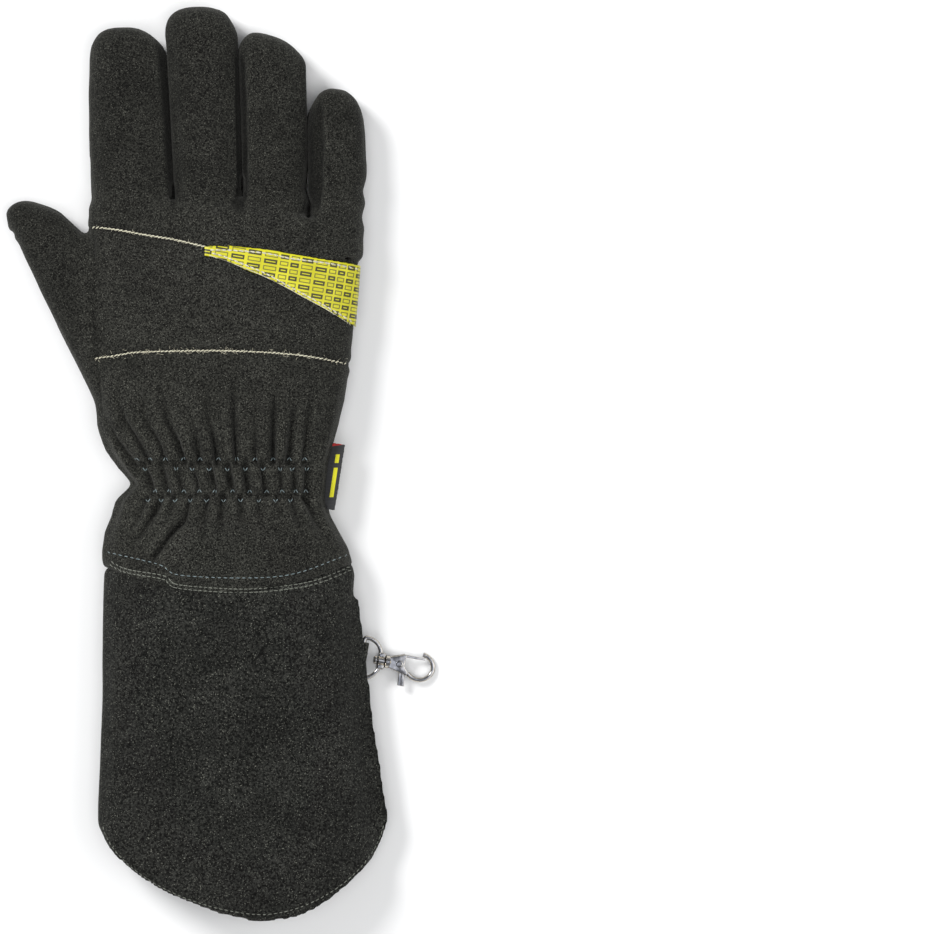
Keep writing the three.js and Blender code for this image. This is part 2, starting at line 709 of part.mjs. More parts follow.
function cuffRowAt(y) {
  const after = CUFF_ROWS.findIndex((row) => cuffY(row.along) < y);
  const [a, b] = [CUFF_ROWS[Math.max(after - 1, 0)], CUFF_ROWS[Math.max(after, 1)]];
  const share = (y - cuffY(a.along)) / (cuffY(b.along) - cuffY(a.along));
  return { flare: mix(a.flare, b.flare, share), flange: mix(a.flange, b.flange, share) };
}

function cuffOutline() {
  const corner = cuffEdges(cuffRowAt(CUFF_CORNER_Y));
  const quarter = (from, to, steps = 10) =>
    Array.from({ length: steps }, (_, i) => {
      const turn = ((i + (to === null ? 0 : 1)) / steps) * (Math.PI / 2);
      const side = to === null ? from : to;
      const a = to === null ? turn : Math.PI / 2 - turn;
      return [
        mix(TONGUE_X, side, powered(Math.cos(a), TONGUE_POWER)),
        CUFF_CORNER_Y - CUFF_TONGUE * powered(Math.sin(a), TONGUE_POWER),
      ];
    });
  const thumbSide = quarter(corner.left, null);
  const littleSide = quarter(TONGUE_X, corner.right);
  const [topY, reach] = [CUFF_TOP_Y + 1, CUFF_WIDTH];
  return [
    [-reach, topY],
    [-reach, CUFF_CORNER_Y],
    ...thumbSide,
    [TONGUE_X, CUFF_END_Y],
    ...littleSide,
    [reach, CUFF_CORNER_Y],
    [reach, topY],
  ];
}

const cuffEnd = prism(cuffOutline());
const cuffInner = cuffForm(CUFF_WALL);
const cuffShell = cuffForm(0).subtract(cuffInner).intersect(cuffEnd);

// The flange is the seam allowance of the back piece, which stands out flat on the little finger's side.
function flange() {
  const rows = CUFF_ROWS.slice(1);
  const outer = rows.map((row) => [cuffEdges(row).right, cuffY(row.along)]);
  const inner = rows.map((row) => [
    cuffEdges(row).right - CUFF_FLANGE * row.flange - 1.5 * CUFF_WALL,
    cuffY(row.along),
  ]);
  const low = SEAM_HEIGHT + SEAM_GAP / 2;
  return prism([...inner, ...outer.reverse()], low, low + CUFF_FLANGE_THICKNESS)
    .intersect(cuffEnd)
    .subtract(cuffInner);
}

const cuffBack = largest(cuffShell.intersect(backSpace).add(flange()));
const cuffPalm = largest(cuffShell.intersect(palmSpace));

// Palm side of the cuff: pieces laid on it are skins of its own form, cut by their outlines.
function laidOnCuff(start, thickness, outline) {
  const below = SEAM_HEIGHT - SEAM_GAP;
  const skinned = cuffForm(-start - thickness).subtract(cuffForm(-start));
  const cut = prism(outline, -1, below).intersect(cuffEnd).intersect(belowHem(2 * SEAM_GAP));
  return largest(skinned.intersect(cut));
}

function halfRoundOutline() {
  const steps = 14;
  const top = HEM_SIDE_Y - HEM_SAG;
  const [left, right] = [HALF_ROUND_X - HALF_ROUND_WIDTH / 2, HALF_ROUND_X + HALF_ROUND_WIDTH / 2];
  const arc = Array.from({ length: steps + 1 }, (_, i) => {
    const a = (Math.PI * i) / steps;
    return [
      HALF_ROUND_X - (HALF_ROUND_WIDTH / 2) * Math.cos(a),
      top - HALF_ROUND_HEIGHT * Math.sin(a) ** 0.85,
    ];
  });
  return [[left, HEM_SIDE_Y], ...arc, [right, HEM_SIDE_Y]];
}

function turnedAbout(points, x, y, degrees) {
  const centre = new THREE.Vector2(x, y);
  return points.map((p) => {
    const moved = new THREE.Vector2(...p).rotateAround(centre, rad(degrees));
    return [moved.x, moved.y];
  });
}

function strapOutline() {
  const [start, half] = [STRAP_END_X, STRAP_WIDTH / 2];
  const shoulder = start - STRAP_LENGTH + STRAP_POINT;
  const points = [
    [start, STRAP_Y - half],
    [start, STRAP_Y + half],
    [shoulder, STRAP_Y + half],
    [start - STRAP_LENGTH, STRAP_Y],
    [shoulder, STRAP_Y - half],
  ];
  return turnedAbout(points.reverse(), start, STRAP_Y, -STRAP_TURN);
}

const strapDrop = (x) => (STRAP_END_X - x) * Math.tan(rad(STRAP_TURN));
const patchMiddleY = STRAP_Y + strapDrop(LOOP_PATCH_X + LOOP_PATCH_LENGTH / 2);
const patchBottom = patchMiddleY - STRAP_WIDTH / 2 + PATCH_MARGIN;

function loopPatchOutline() {
  const [left, right] = [LOOP_PATCH_X, LOOP_PATCH_X + LOOP_PATCH_LENGTH];
  const top = patchBottom + STRAP_WIDTH - PATCH_MARGIN;
  return [
    [left, patchBottom + LOOP_PATCH_SLANT],
    [right, patchBottom],
    [right, top],
    [left, top + LOOP_PATCH_SLANT],
  ];
}

function pullTabOutline() {
  const [left, right] = [PULL_TAB_X - PULL_TAB_WIDTH / 2, PULL_TAB_X + PULL_TAB_WIDTH / 2];
  const top = patchBottom - SEAM_GAP;
  const shoulder = top - PULL_TAB_LENGTH * PULL_TAB_SHOULDER;
  return [
    [left, top],
    [left, shoulder],
    [PULL_TAB_X, top - PULL_TAB_LENGTH],
    [right, shoulder],
    [right, top],
  ];
}

const onCuff = SEAM_GAP;
const onPatch = 2 * SEAM_GAP + PATCH_THICKNESS;
const halfRoundPatch = laidOnCuff(onCuff, PATCH_THICKNESS, halfRoundOutline());
const loopPatch = laidOnCuff(onCuff, PATCH_THICKNESS, loopPatchOutline());
const pullTab = laidOnCuff(onCuff, PATCH_THICKNESS, pullTabOutline());
const closureStrap = laidOnCuff(onPatch, STRAP_THICKNESS, strapOutline());

// Woven label, sewn into the wrist's side seam and leaning up against the gathers.
function sideLabel() {
  const edge = handSectionAt(LABEL_Y).right;
  const geometry = new THREE.BoxGeometry(LABEL_WIDTH, LABEL_LENGTH, LABEL_THICKNESS);
  geometry.rotateY(rad(LABEL_TILT)).rotateZ(rad(LABEL_TURN));
  geometry.translate(edge + LABEL_SHOWN - LABEL_WIDTH / 2, LABEL_Y, SEAM_HEIGHT + LABEL_LIFT);
  return largest(solidFromGeometry(geometry).subtract(handOnly));
}

// D-ring and clasp, in their own frame: the bar of the ring lies on Y, and the clasp points along +X.
const ringRow = cuffRowAt(RING_Y);
const FLANGE_EDGE_X = cuffEdges(ringRow).right;
const LOOP_RADIUS = RING_WIRE + RUNNING_GAP + RING_LOOP_LEATHER;
const RING_BAR = new THREE.Vector3(
  FLANGE_EDGE_X - LOOP_RADIUS - SEAM_GAP,
  RING_Y,
  SEAM_HEIGHT - SEAM_GAP - LOOP_RADIUS
);

function ringPath() {
  const half = RING_HEIGHT / 2;
  const steps = 12;
  const bend = Array.from({ length: steps + 1 }, (_, i) => {
    const a = mix(-Math.PI / 2, Math.PI / 2, i / steps);
    const [out, along] = [powered(Math.cos(a), RING_POWER), powered(Math.sin(a), RING_POWER)];
    return new THREE.Vector2(RING_DEPTH * out, half * along);
  });
  return [...bend, new THREE.Vector2(0, half / 3), new THREE.Vector2(0, -half / 3)];
}

const BOSS_START = RING_DEPTH - BOSS_LENGTH / 2;
const BOSS_END = RING_DEPTH + BOSS_LENGTH / 2;
const COLLAR_START = BOSS_END + RUNNING_GAP;
const BODY_START = COLLAR_START + COLLAR_LENGTH;
const BODY_END = BODY_START + CLASP_LENGTH;
const HOOK_CENTRE_X = BODY_END - HOOK_WIRE + HOOK_LENGTH / 2;
const HOOK_REACH = HOOK_CENTRE_X + HOOK_LENGTH / 2;

// The clasp dips from the bar until the end of its hook lies on the surface.
const RING_DIP = Math.asin((RING_BAR.z - HOOK_WIRE - RUNNING_GAP) / HOOK_REACH);

function dRing() {
  const boss = block(
    BOSS_START,
    BOSS_END,
    -BOSS_WIDTH / 2,
    BOSS_WIDTH / 2,
    -BOSS_THICKNESS / 2,
    BOSS_THICKNESS / 2
  );
  const bore = barAlongX(POST_RADIUS + RUNNING_GAP, BOSS_START - 2, BOSS_END + 2);
  return wire(ringPath(), RING_WIRE, true).add(boss).subtract(bore);
}

// The loop of leather round the ring's bar, cut where it meets the cuff's side.
function ringLoop() {
  const half = RING_LOOP_WIDTH / 2;
  const tube = new THREE.CylinderGeometry(LOOP_RADIUS, LOOP_RADIUS, RING_LOOP_WIDTH, 20);
  const bore = new THREE.CylinderGeometry(RING_WIRE + RUNNING_GAP, RING_WIRE + RUNNING_GAP, DEEP, 12);
  const legs = block(-2 * CUFF_FLANGE, 0, -half, half, -RING_LOOP_LEATHER, LOOP_RADIUS);
  const made = solidFromGeometry(tube).add(legs).subtract(solidFromGeometry(bore));
  const placed = geometryFromSolid(made).applyMatrix4(ringMatrix());
  const under = SEAM_HEIGHT - SEAM_GAP / 2;
  return largest(
    solidFromGeometry(placed)
      .subtract(cuffForm(-SEAM_GAP))
      .intersect(block(-DEEP, DEEP, -DEEP, DEEP, 0, under))
  );
}

function ringMatrix() {
  const turned = new THREE.Euler(0, RING_DIP, rad(RING_TURN), "ZYX");
  return new THREE.Matrix4().makeRotationFromEuler(turned).setPosition(RING_BAR);
}

// Lever outline round its rivet: the gate arm closes the hook, and the tab below is pulled to open it.
// The eye's points are shares of its radius.
const RIVET_X = BODY_START + CLASP_LENGTH * 0.55;
const LEVER_EYE = [[-0.7, 0.8], [-1, 0], [-0.7, -0.75], [0.35, -1]];
const LEVER_EYE_WALL = 1.2;
const LEVER_TAB_SLANT = 0.4;
const HOOK_ACROSS = HOOK_WIDTH / 2 - HOOK_WIRE;
const HOOK_ALONG = HOOK_LENGTH / 2 - HOOK_WIRE;
const GATE_OUTER = HOOK_ACROSS - HOOK_WIRE - RUNNING_GAP;
const GATE_THICKNESS = 1.3;
const GATE_TAPER = 0.3;
const GATE_END_X = HOOK_CENTRE_X + HOOK_ALONG * 0.3;

function leverOutline() {
  const radius = RIVET_RADIUS + RUNNING_GAP + LEVER_EYE_WALL;
  const eye = LEVER_EYE.map(([along, across]) => [RIVET_X + radius * along, radius * across]);
  const tab = eye[eye.length - 1][0];
  return [
    ...eye,
    [tab + LEVER_TAB_SLANT, -LEVER_TAB_REACH],
    [tab + LEVER_TAB_SLANT + LEVER_TAB_WIDTH, -LEVER_TAB_REACH],
    [tab + LEVER_TAB_WIDTH - LEVER_TAB_SLANT, -radius * 0.9],
    [RIVET_X + radius, radius * 0.4],
    [BODY_END - GATE_TAPER, GATE_OUTER - GATE_THICKNESS],
    [GATE_END_X, GATE_OUTER - GATE_THICKNESS],
    [GATE_END_X, GATE_OUTER - GATE_TAPER],
    [BODY_END, GATE_OUTER],
    [BODY_END - GATE_THICKNESS, GATE_OUTER - GATE_TAPER],
  ];
}

// The slot is the lever's outline swept past both ends of its travel, with a gap all round at rest.
const SLOT_SPARE_TURN = 4;

function leverSlot() {
  const half = LEVER_THICKNESS / 2 + RUNNING_GAP;
  const outline = leverOutline();
  const steps = 6;
  const swept = Array.from({ length: steps + 1 }, (_, i) => {
    const turn = mix(SLOT_SPARE_TURN, -LEVER_TRAVEL - SLOT_SPARE_TURN, i / steps);
    return prism(turnedAbout(outline, RIVET_X, 0, turn), -half, half);
  });
  const gap = 1.5 * RUNNING_GAP;
  const atRest = [[gap, 0], [-gap, 0], [0, gap], [0, -gap]].map(([dx, dy]) =>
    prism(outline.map(([x, y]) => [x + dx, y + dy]), -half, half)
  );
  return joined([...swept, ...atRest]);
}

// Clasp plate: each point's distance along it is a share of CLASP_LENGTH, and across of half CLASP_WIDTH.
const CLASP_PLATE = [
  { along: -0.06, across: -0.48 },
  { along: 1.07, across: -1 },
  { along: 1.14, across: -0.72 },
  { along: 0.86, across: -0.12 },
  { along: 0.93, across: 0.86 },
  { along: 0.88, across: 1 },
  { along: -0.06, across: 0.48 },
];
const HOOK_START = -142;

function claspBody() {
  const half = CLASP_THICKNESS / 2;
  const outline = CLASP_PLATE.map(({ along, across }) => [
    BODY_START + CLASP_LENGTH * along,
    (CLASP_WIDTH / 2) * across,
  ]);
  const plate = prism(outline, -half, half);
  const steps = 16;
  const [start, end] = [rad(HOOK_START), rad(HOOK_NOSE)];
  const path = Array.from({ length: steps + 1 }, (_, i) => {
    const a = mix(start, end, i / steps);
    return new THREE.Vector2(HOOK_CENTRE_X + HOOK_ALONG * Math.cos(a), HOOK_ACROSS * Math.sin(a));
  });
  const head = barAlongX(POST_HEAD_RADIUS, BOSS_START - RUNNING_GAP - POST_HEAD_LENGTH, BOSS_START - RUNNING_GAP);
  const post = barAlongX(POST_RADIUS, BOSS_START - RUNNING_GAP - 0.5, COLLAR_START + 0.5);
  const collar = barAlongX(COLLAR_RADIUS, COLLAR_START, BODY_START);
  const rivetBore = barAlongZ(RIVET_RADIUS + RUNNING_GAP, RIVET_X, 0, -DEEP, DEEP);
  const cheeks = joined([plate, wire(path, HOOK_WIRE, false)]).subtract(leverSlot()).subtract(rivetBore);
  return largest(joined([cheeks, head, post, collar]));
}

function claspLever() {
  const half = LEVER_THICKNESS / 2;
  const bore = barAlongZ(RIVET_RADIUS + RUNNING_GAP, RIVET_X, 0, -DEEP, DEEP);
  return prism(leverOutline(), -half, half).subtract(bore);
}

function leverRivet() {
  const half = CLASP_THICKNESS / 2 + RUNNING_GAP;
  const head = half + RIVET_HEAD_THICKNESS;
  return joined([
    barAlongZ(RIVET_RADIUS, RIVET_X, 0, -half - 0.1, half + 0.1),
    barAlongZ(RIVET_HEAD_RADIUS, RIVET_X, 0, half, head),
    barAlongZ(RIVET_HEAD_RADIUS, RIVET_X, 0, -head, -half),
  ]);
}

// Finishes
const suede = (colour) => new THREE.MeshStandardMaterial({ color: colour, roughness: 0.96, metalness: 0 });
const backSuede = suede(0x2a2b29);
const palmSuede = suede(0x282927);
const cuffSuede = suede(0x242524);
const strapSuede = suede(0x262725);
const tapeFinish = new THREE.MeshStandardMaterial({ color: 0xd9dc1e, roughness: 0.45, metalness: 0 });
const pileFinish = new THREE.MeshStandardMaterial({ color: 0x1b1c1b, roughness: 1, metalness: 0 });
const labelFinish = new THREE.MeshStandardMaterial({ color: 0x2b2c2e, roughness: 0.8, metalness: 0 });
const nickel = new THREE.MeshStandardMaterial({ color: 0xcfc9bd, roughness: 0.18, metalness: 1 });

function piece(name, solid, material) {
  const mesh = new THREE.Mesh(geometryFromSolid(solid), material);
  mesh.name = name;
  return mesh;
}

const hand = new THREE.Group();
hand.add(
  piece("back_fingers_panel", backFingersPanel, backSuede),
  piece("back_hand_panel", backHandPanel, backSuede),
  piece("palm_panel", palmPanel, palmSuede),
  piece("thumb_panel", thumbPanel, palmSuede),
  piece("sidewall_index_middle", sidewalls[0], palmSuede),
  piece("sidewall_middle_ring", sidewalls[1], palmSuede),
  piece("sidewall_ring_little", sidewalls[2], palmSuede),
  piece("reflective_insert", reflectiveInsert, tapeFinish),
  piece("side_label", sideLabel(), labelFinish)
);

const cuff = new THREE.Group();
cuff.add(
  piece("cuff_back", cuffBack, cuffSuede),
  piece("cuff_palm", cuffPalm, cuffSuede),
  piece("half_round_patch", halfRoundPatch, cuffSuede),
  piece("loop_patch", loopPatch, pileFinish),
  piece("pull_tab", pullTab, strapSuede),
  piece("closure_strap", closureStrap, strapSuede),
  piece("ring_loop", ringLoop(), strapSuede)
);

const clasp = new THREE.Group();
clasp.applyMatrix4(ringMatrix());
clasp.add(
  piece("d_ring", dRing(), nickel),
  piece("clasp_body", claspBody(), nickel),
  piece("clasp_lever", claspLever(), nickel),
  piece("lever_rivet", leverRivet(), nickel)
);

const glove = new THREE.Group();
glove.add(hand, cuff, clasp);

export default glove;
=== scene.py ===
import json
import math
import random

import bmesh
import bpy
import numpy as np
from mathutils import Matrix, Vector
from mathutils.bvhtree import BVHTree


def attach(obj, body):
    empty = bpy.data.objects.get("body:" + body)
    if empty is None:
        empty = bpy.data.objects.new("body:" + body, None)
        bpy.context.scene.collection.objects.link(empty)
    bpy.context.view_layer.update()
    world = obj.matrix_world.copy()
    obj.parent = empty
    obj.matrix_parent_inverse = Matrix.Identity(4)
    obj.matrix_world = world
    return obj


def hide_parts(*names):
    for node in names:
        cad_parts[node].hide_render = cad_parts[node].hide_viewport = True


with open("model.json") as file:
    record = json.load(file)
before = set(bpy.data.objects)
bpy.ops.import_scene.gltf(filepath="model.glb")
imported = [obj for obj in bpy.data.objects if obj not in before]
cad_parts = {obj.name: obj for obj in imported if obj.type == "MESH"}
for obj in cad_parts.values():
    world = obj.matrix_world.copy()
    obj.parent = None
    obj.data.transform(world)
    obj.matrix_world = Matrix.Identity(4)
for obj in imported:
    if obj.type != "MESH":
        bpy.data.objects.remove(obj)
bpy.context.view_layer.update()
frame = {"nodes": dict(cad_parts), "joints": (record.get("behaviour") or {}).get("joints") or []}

MM = 0.001
random.seed(11)

# The black split leather of the glove.
# Both faces are brushed to a short nap, which gives a soft mottled black with a few
# pale fibres in it, paler where an edge is rubbed or cut. Painted shade darkens its folds,
# seams and the gaps between the fingers, and painted highlights lie on ridges and fold shoulders.


class Shade:
    """A socket in a sum: each operator adds the Math node that works it out."""

    def __init__(self, paint, socket):
        self.paint, self.socket = paint, socket

    def maths(self, operation, *values):
        return self.paint.node("ShaderNodeMath", {"operation": operation}, dict(enumerate(values)))

    def __add__(self, other):
        return self.maths("ADD", self, other)

    def __sub__(self, other):
        return self.maths("SUBTRACT", self, other)

    def __rsub__(self, other):
        return self.maths("SUBTRACT", other, self)

    def __mul__(self, other):
        return self.maths("MULTIPLY", self, other)

    __radd__ = __add__
    __rmul__ = __mul__


class Paint:
    """A material with its shader, and one way to add any other node to it."""

    def __init__(self, name, uniform):
        self.material = bpy.data.materials.new(name)
        self.material.use_nodes = True
        self.tree = self.material.node_tree
        self.shader = self.tree.nodes["Principled BSDF"]
        for socket, value in uniform.items():
            self.shader.inputs[socket].default_value = value

    def node(self, kind, settings=None, sockets=None, out=0):
        made = self.tree.nodes.new(kind)
        for name, value in (settings or {}).items():
            if name == "stops":
                ramp = made.color_ramp
                for position, colour in value[1:-1]:
                    ramp.elements.new(position).color = colour
                for end in (0, -1):
                    ramp.elements[end].position, ramp.elements[end].color = value[end]
            else:
                setattr(made, name, value)
        for name, value in (sockets or {}).items():
            if isinstance(value, Shade):
                self.tree.links.new(value.socket, made.inputs[name])
            else:
                made.inputs[name].default_value = value
        return Shade(self, made.outputs[out])

    def feed(self, socket, value):
        self.tree.links.new(value.socket, self.shader.inputs[socket])

    def place(self):
        return self.node("ShaderNodeTexCoord", out="Object")

    def cloud(self, size, detail=3.0, rough=0.55, place=None):
        """Even noise whose lumps are about that many millimetres across."""
        return self.node(
            "ShaderNodeTexNoise",
            {"normalize": True},
            {
                "Vector": place or self.place(),
                "Scale": 1 / (size * MM),
                "Detail": detail,
                "Roughness": rough,
            },
        )

    def between(self, value, low, high, start=0.0, end=1.0):
        """The value eased from start to end while it goes from low to high."""
        return self.node(
            "ShaderNodeMapRange",
            {"interpolation_type": "SMOOTHSTEP"},
            {"Value": value, "From Min": low, "From Max": high, "To Min": start, "To Max": end},
        )

    def mixed(self, share, first, second):
        """One colour turning into another with the share."""
        return self.node(
            "ShaderNodeMix",
            {"data_type": "RGBA"},
            {0: share, 6: first, 7: second},
            out=2,
        )

    def scaled(self, colour, share):
        return self.node(
            "ShaderNodeVectorMath", {"operation": "SCALE"}, {"Vector": colour, "Scale": share}
        )

    def bump(self, height, strength, distance):
        return self.node(
            "ShaderNodeBump", {}, {"Height": height, "Strength": strength, "Distance": distance * MM}
        )


# Nearly all of a cloud's values lie in this span.
SPAN = (0.3, 0.7)
PALE_FIBRE = (0.205, 0.208, 0.172, 1)


def suede(name, colour, grain, specks):
    """Brushed split leather: grain is the width of its tufts, and specks the share of pale ones."""
    paint = Paint(
        name,
        {
            "Roughness": 0.95,
            "Specular IOR Level": 0.12,
            "Sheen Weight": 0.10,
            "Sheen Roughness": 0.5,
            "Sheen Tint": (0.8, 0.8, 0.74, 1),
        },
    )
    place = paint.place()
    patches = paint.between(paint.cloud(22, 3.0, 0.6, place), *SPAN, 0.87, 1.14)
    mottle = paint.between(paint.cloud(grain * 6, 3.0, 0.65, place), *SPAN, 0.80, 1.20)
    tufts = paint.cloud(grain, 2.0, 0.62, place)
    fine = paint.cloud(grain * 0.5, 1.0, 0.5, place)
    # This attribute scales the leather's colour: random tone and paler cut edges, with painted shade in folds,
    # seams and finger gaps and painted highlights on ridges and fold shoulders.
    tone = paint.node("ShaderNodeAttribute", {"attribute_name": "tone"}, out="Fac")
    nap = paint.between(tufts, 0.34, 0.68, 0.16, 2.15)
    leather = paint.scaled(colour, patches * mottle * nap * tone)
    pale = paint.between(fine, 0.70 - specks, 0.80 - specks) * paint.between(tufts, 0.44, 0.60)
    paint.feed("Base Color", paint.mixed(pale * tone * 0.85, leather, PALE_FIBRE))
    paint.feed("Normal", paint.bump(tufts * 0.8 + fine * 0.4, 0.8, 0.45))
    return paint.material


back_suede = suede("back_suede", (0.0168, 0.0168, 0.0144), 0.80, 0.048)
palm_suede = suede("palm_suede", (0.0165, 0.0167, 0.0145), 0.80, 0.038)
cuff_suede = suede("cuff_suede", (0.0126, 0.0128, 0.0114), 1.05, 0.045)
strap_suede = suede("strap_suede", (0.0188, 0.0190, 0.0166), 1.15, 0.03)

# The hand: a back, a palm, a thumb and three strips between the fingers.
# They are sewn with the seams inside and turned, so each seam is a soft groove, and
# elastic sewn in at the wrist gathers the back into folds.

HAND_PANELS = ("back_fingers_panel", "back_hand_panel", "palm_panel", "thumb_panel")
STRIPS = ("sidewall_index_middle", "sidewall_middle_ring", "sidewall_ring_little")
WALL_CELL = 1.2 * MM
SIDE_SEAM_Z = 13.0
SEAM_GAP = 0.12
SWELL = 0.22 * MM
# Points closer than this are one point.
MERGE = 0.001 * MM
# How far the skins of two fingers are drawn apart while they are made, and how much of that their
# sides swell back.
FINGER_SPREAD = 2.8
FINGER_PRESS = 1.2
CLEFT_LEVEL = 106.0
# Each gap between two fingers: where it starts to open, its x at CLEFT_LEVEL, its lean, and the
# side that is drawn away from the middle finger.
CLEFTS = ((100.5, -28.13, -0.038, -1), (104.0, 8.98, -0.0375, 1), (91.5, 40.13, -0.0212, 1))
# How far the first gap is drawn sideways at each y.
FIRST_GAP = ((85, 0.0), (100, 4.2), (150, 3.5), (180, 2.9), (195, 1.7))


def ease(value):
    value = np.clip(value, 0, 1)
    return value * value * (3 - 2 * value)


def cleft_lines(y):
    """For each gap its line, how far it is drawn open there, and which way."""
    return [
        (middle + lean * (y - CLEFT_LEVEL), FINGER_SPREAD * ease((y - start) / 8), way)
        for start, middle, lean, way in CLEFTS
    ]


def drawn_apart(points):
    """The fingers drawn apart, so that the skin of one doesn't join the next one's."""
    moved = points.copy()
    for line, opened, way in cleft_lines(points[:, 1]):
        moved[:, 0] += way * opened * ((points[:, 0] - line) * way > 0)
    return moved


def laid_back(points):
    """The fingers laid side by side again, touching at most."""
    moved = points.copy()
    index, ring, little = cleft_lines(points[:, 1])
    for line, opened, way in ((little[0] + ring[1], little[1], 1), ring, index):
        moved[:, 0] -= way * np.clip((moved[:, 0] - line) * way, 0, opened)
    return moved


def leaned(points):
    """The first gap drawn over the middle finger's side, where the index finger's strip shows."""
    moved = points.copy()
    line = cleft_lines(points[:, 1])[0][0]
    moved[:, 0] += np.interp(points[:, 1], *zip(*FIRST_GAP)) * hump(points[:, 0] - line, 9)
    return moved


def places(form):
    """The vertices' places in millimetres."""
    return np.array([v.co[:] for v in form.verts]) / MM


def put(form, points):
    for vertex, point in zip(form.verts, points * MM):
        vertex.co = point


def solid_copy(*nodes):
    """The closed solids of these nodes in one mesh."""
    form = bmesh.new()
    for node in nodes:
        form.from_mesh(frame["nodes"][node].data)
    bmesh.ops.remove_doubles(form, verts=form.verts, dist=MERGE)
    form.normal_update()
    return form


def swollen(form, amount):
    for vertex, normal in [(v, v.normal.copy()) for v in form.verts]:
        vertex.co += normal * amount
    return form


def smoothed(form, verts, rounds):
    """Each of these vertices drawn towards its neighbours, that many times."""
    for _ in range(rounds):
        bmesh.ops.smooth_vert(
            form, verts=verts, factor=0.5, use_axis_x=True, use_axis_y=True, use_axis_z=True
        )


def even_skin(form, cell, rounds):
    """One closed skin of even faces over the form, with its edges rounded."""
    mesh = bpy.data.meshes.new("skin")
    form.to_mesh(mesh)
    form.free()
    holder = bpy.data.objects.new("skin", mesh)
    bpy.context.scene.collection.objects.link(holder)
    remesh = holder.modifiers.new("skin", "REMESH")
    remesh.mode, remesh.voxel_size = "VOXEL", cell
    bpy.context.view_layer.update()
    skin = bmesh.new()
    skin.from_mesh(holder.evaluated_get(bpy.context.evaluated_depsgraph_get()).to_mesh())
    bpy.data.objects.remove(holder)
    smoothed(skin, skin.verts, rounds)
    skin.normal_update()
    return skin


def curve_through(points, step=1.0):
    """Even steps along a smooth line through given points, in millimetres."""
    points = np.array(points, float)
    padded = np.vstack([2 * points[0] - points[1], points, 2 * points[-1] - points[-2]])
    fine = []
    for a, b, c, d in zip(padded, padded[1:], padded[2:], padded[3:]):
        for t in np.linspace(0, 1, 24, endpoint=False):
            fine.append(
                0.5 * (2 * b + (c - a) * t + (2 * a - 5 * b + 4 * c - d) * t**2
                       + (3 * b - a - 3 * c + d) * t**3)
            )
    fine = np.array(fine + [points[-1]])
    run = np.concatenate([[0], np.cumsum(np.hypot(*np.diff(fine[:, :2], axis=0).T))])
    count = max(2, round(run[-1] / step) + 1)
    wanted = np.linspace(0, run[-1], count)
    return np.stack([np.interp(wanted, run, fine[:, i]) for i in range(points.shape[1])], axis=1)


def from_line(points, line):
    """Each point's distance from a line, its side, left being above 0, and how far along."""
    flat, line = points[:, :2], np.array(line)
    best, side, run = np.full(len(flat), 1e9), np.zeros(len(flat)), np.zeros(len(flat))
    travelled = 0.0
    for a, b in zip(line, line[1:]):
        edge = b - a
        length = math.hypot(*edge)
        share = np.clip(((flat - a) @ edge) / length**2, 0, 1)
        off = flat - a - share[:, None] * edge
        distance = np.hypot(off[:, 0], off[:, 1])
        closer = distance < best
        best[closer] = distance[closer]
        side[closer] = np.sign(edge[0] * off[:, 1] - edge[1] * off[:, 0])[closer]
        run[closer] = (travelled + share * length)[closer]
        travelled += length
    return best, side, run


def hump(distance, width):
    return np.exp(-((distance / width) ** 2))


def waves(points, size, seed):
    """Smooth irregular waves of about that size, from -1 to 1."""
    draw = np.random.default_rng(seed)
    total = np.zeros(len(points))
    for _ in range(7):
        direction = draw.normal(size=3)
        direction /= np.linalg.norm(direction)
        pace = 2 * math.pi / (size * draw.uniform(0.75, 1.5))
        total += np.sin(points @ direction * pace + draw.uniform(0, 2 * math.pi))
    return total / 3.5


# The search for open air starts this far off the skin.
OFF_SKIN = 0.08 * MM


def on_outside(form):
    """True for the vertices that can be reached from straight above or below."""
    tree = BVHTree.FromBMesh(form)
    up, down = Vector((0, 0, 1)), Vector((0, 0, -1))
    outside = []
    for vertex in form.verts:
        start = vertex.co + vertex.normal * OFF_SKIN
        outside.append(tree.ray_cast(start, up)[0] is None or tree.ray_cast(start, down)[0] is None)
    return np.array(outside)


# The lowest that a face may lie, in millimetres, and the tone of the faces inside the glove.
LOWEST = 0.02
INSIDE_TONE = 0.8


def worked(form, relief, laid=None):
    """Moves both faces of the leather by the relief, and keeps its tone, painted shade and highlights
    included, on the vertices.
    """
    outside = on_outside(form)
    points = places(form)
    normals = np.array([v.normal[:] for v in form.verts])
    height, tone = relief(laid(points) if laid else points, normals)
    facing = np.where(outside, 1.0, -1.0)
    points += normals * (height * facing)[:, None]
    points[:, 2] = np.maximum(points[:, 2], LOWEST)
    put(form, points)
    layer = form.verts.layers.float.new("tone")
    for vertex, value, seen in zip(form.verts, tone, outside):
        vertex[layer] = value if seen else INSIDE_TONE
    form.normal_update()
    return form


def halved(form, upper):
    """The part of the skin above or below the side seam, closed across its wall."""
    half = form.copy()
    level = SIDE_SEAM_Z + (SEAM_GAP if upper else -SEAM_GAP)
    cut = bmesh.ops.bisect_plane(
        half,
        geom=half.verts[:] + half.edges[:] + half.faces[:],
        dist=MERGE / 10,
        plane_co=(0, 0, level * MM),
        plane_no=(0, 0, 1),
        clear_inner=upper,
        clear_outer=not upper,
    )
    edges = [e for e in cut["geom_cut"] if isinstance(e, bmesh.types.BMEdge)]
    bmesh.ops.triangle_fill(half, edges=edges, use_beauty=True)
    bmesh.ops.recalc_face_normals(half, faces=half.faces)
    return half


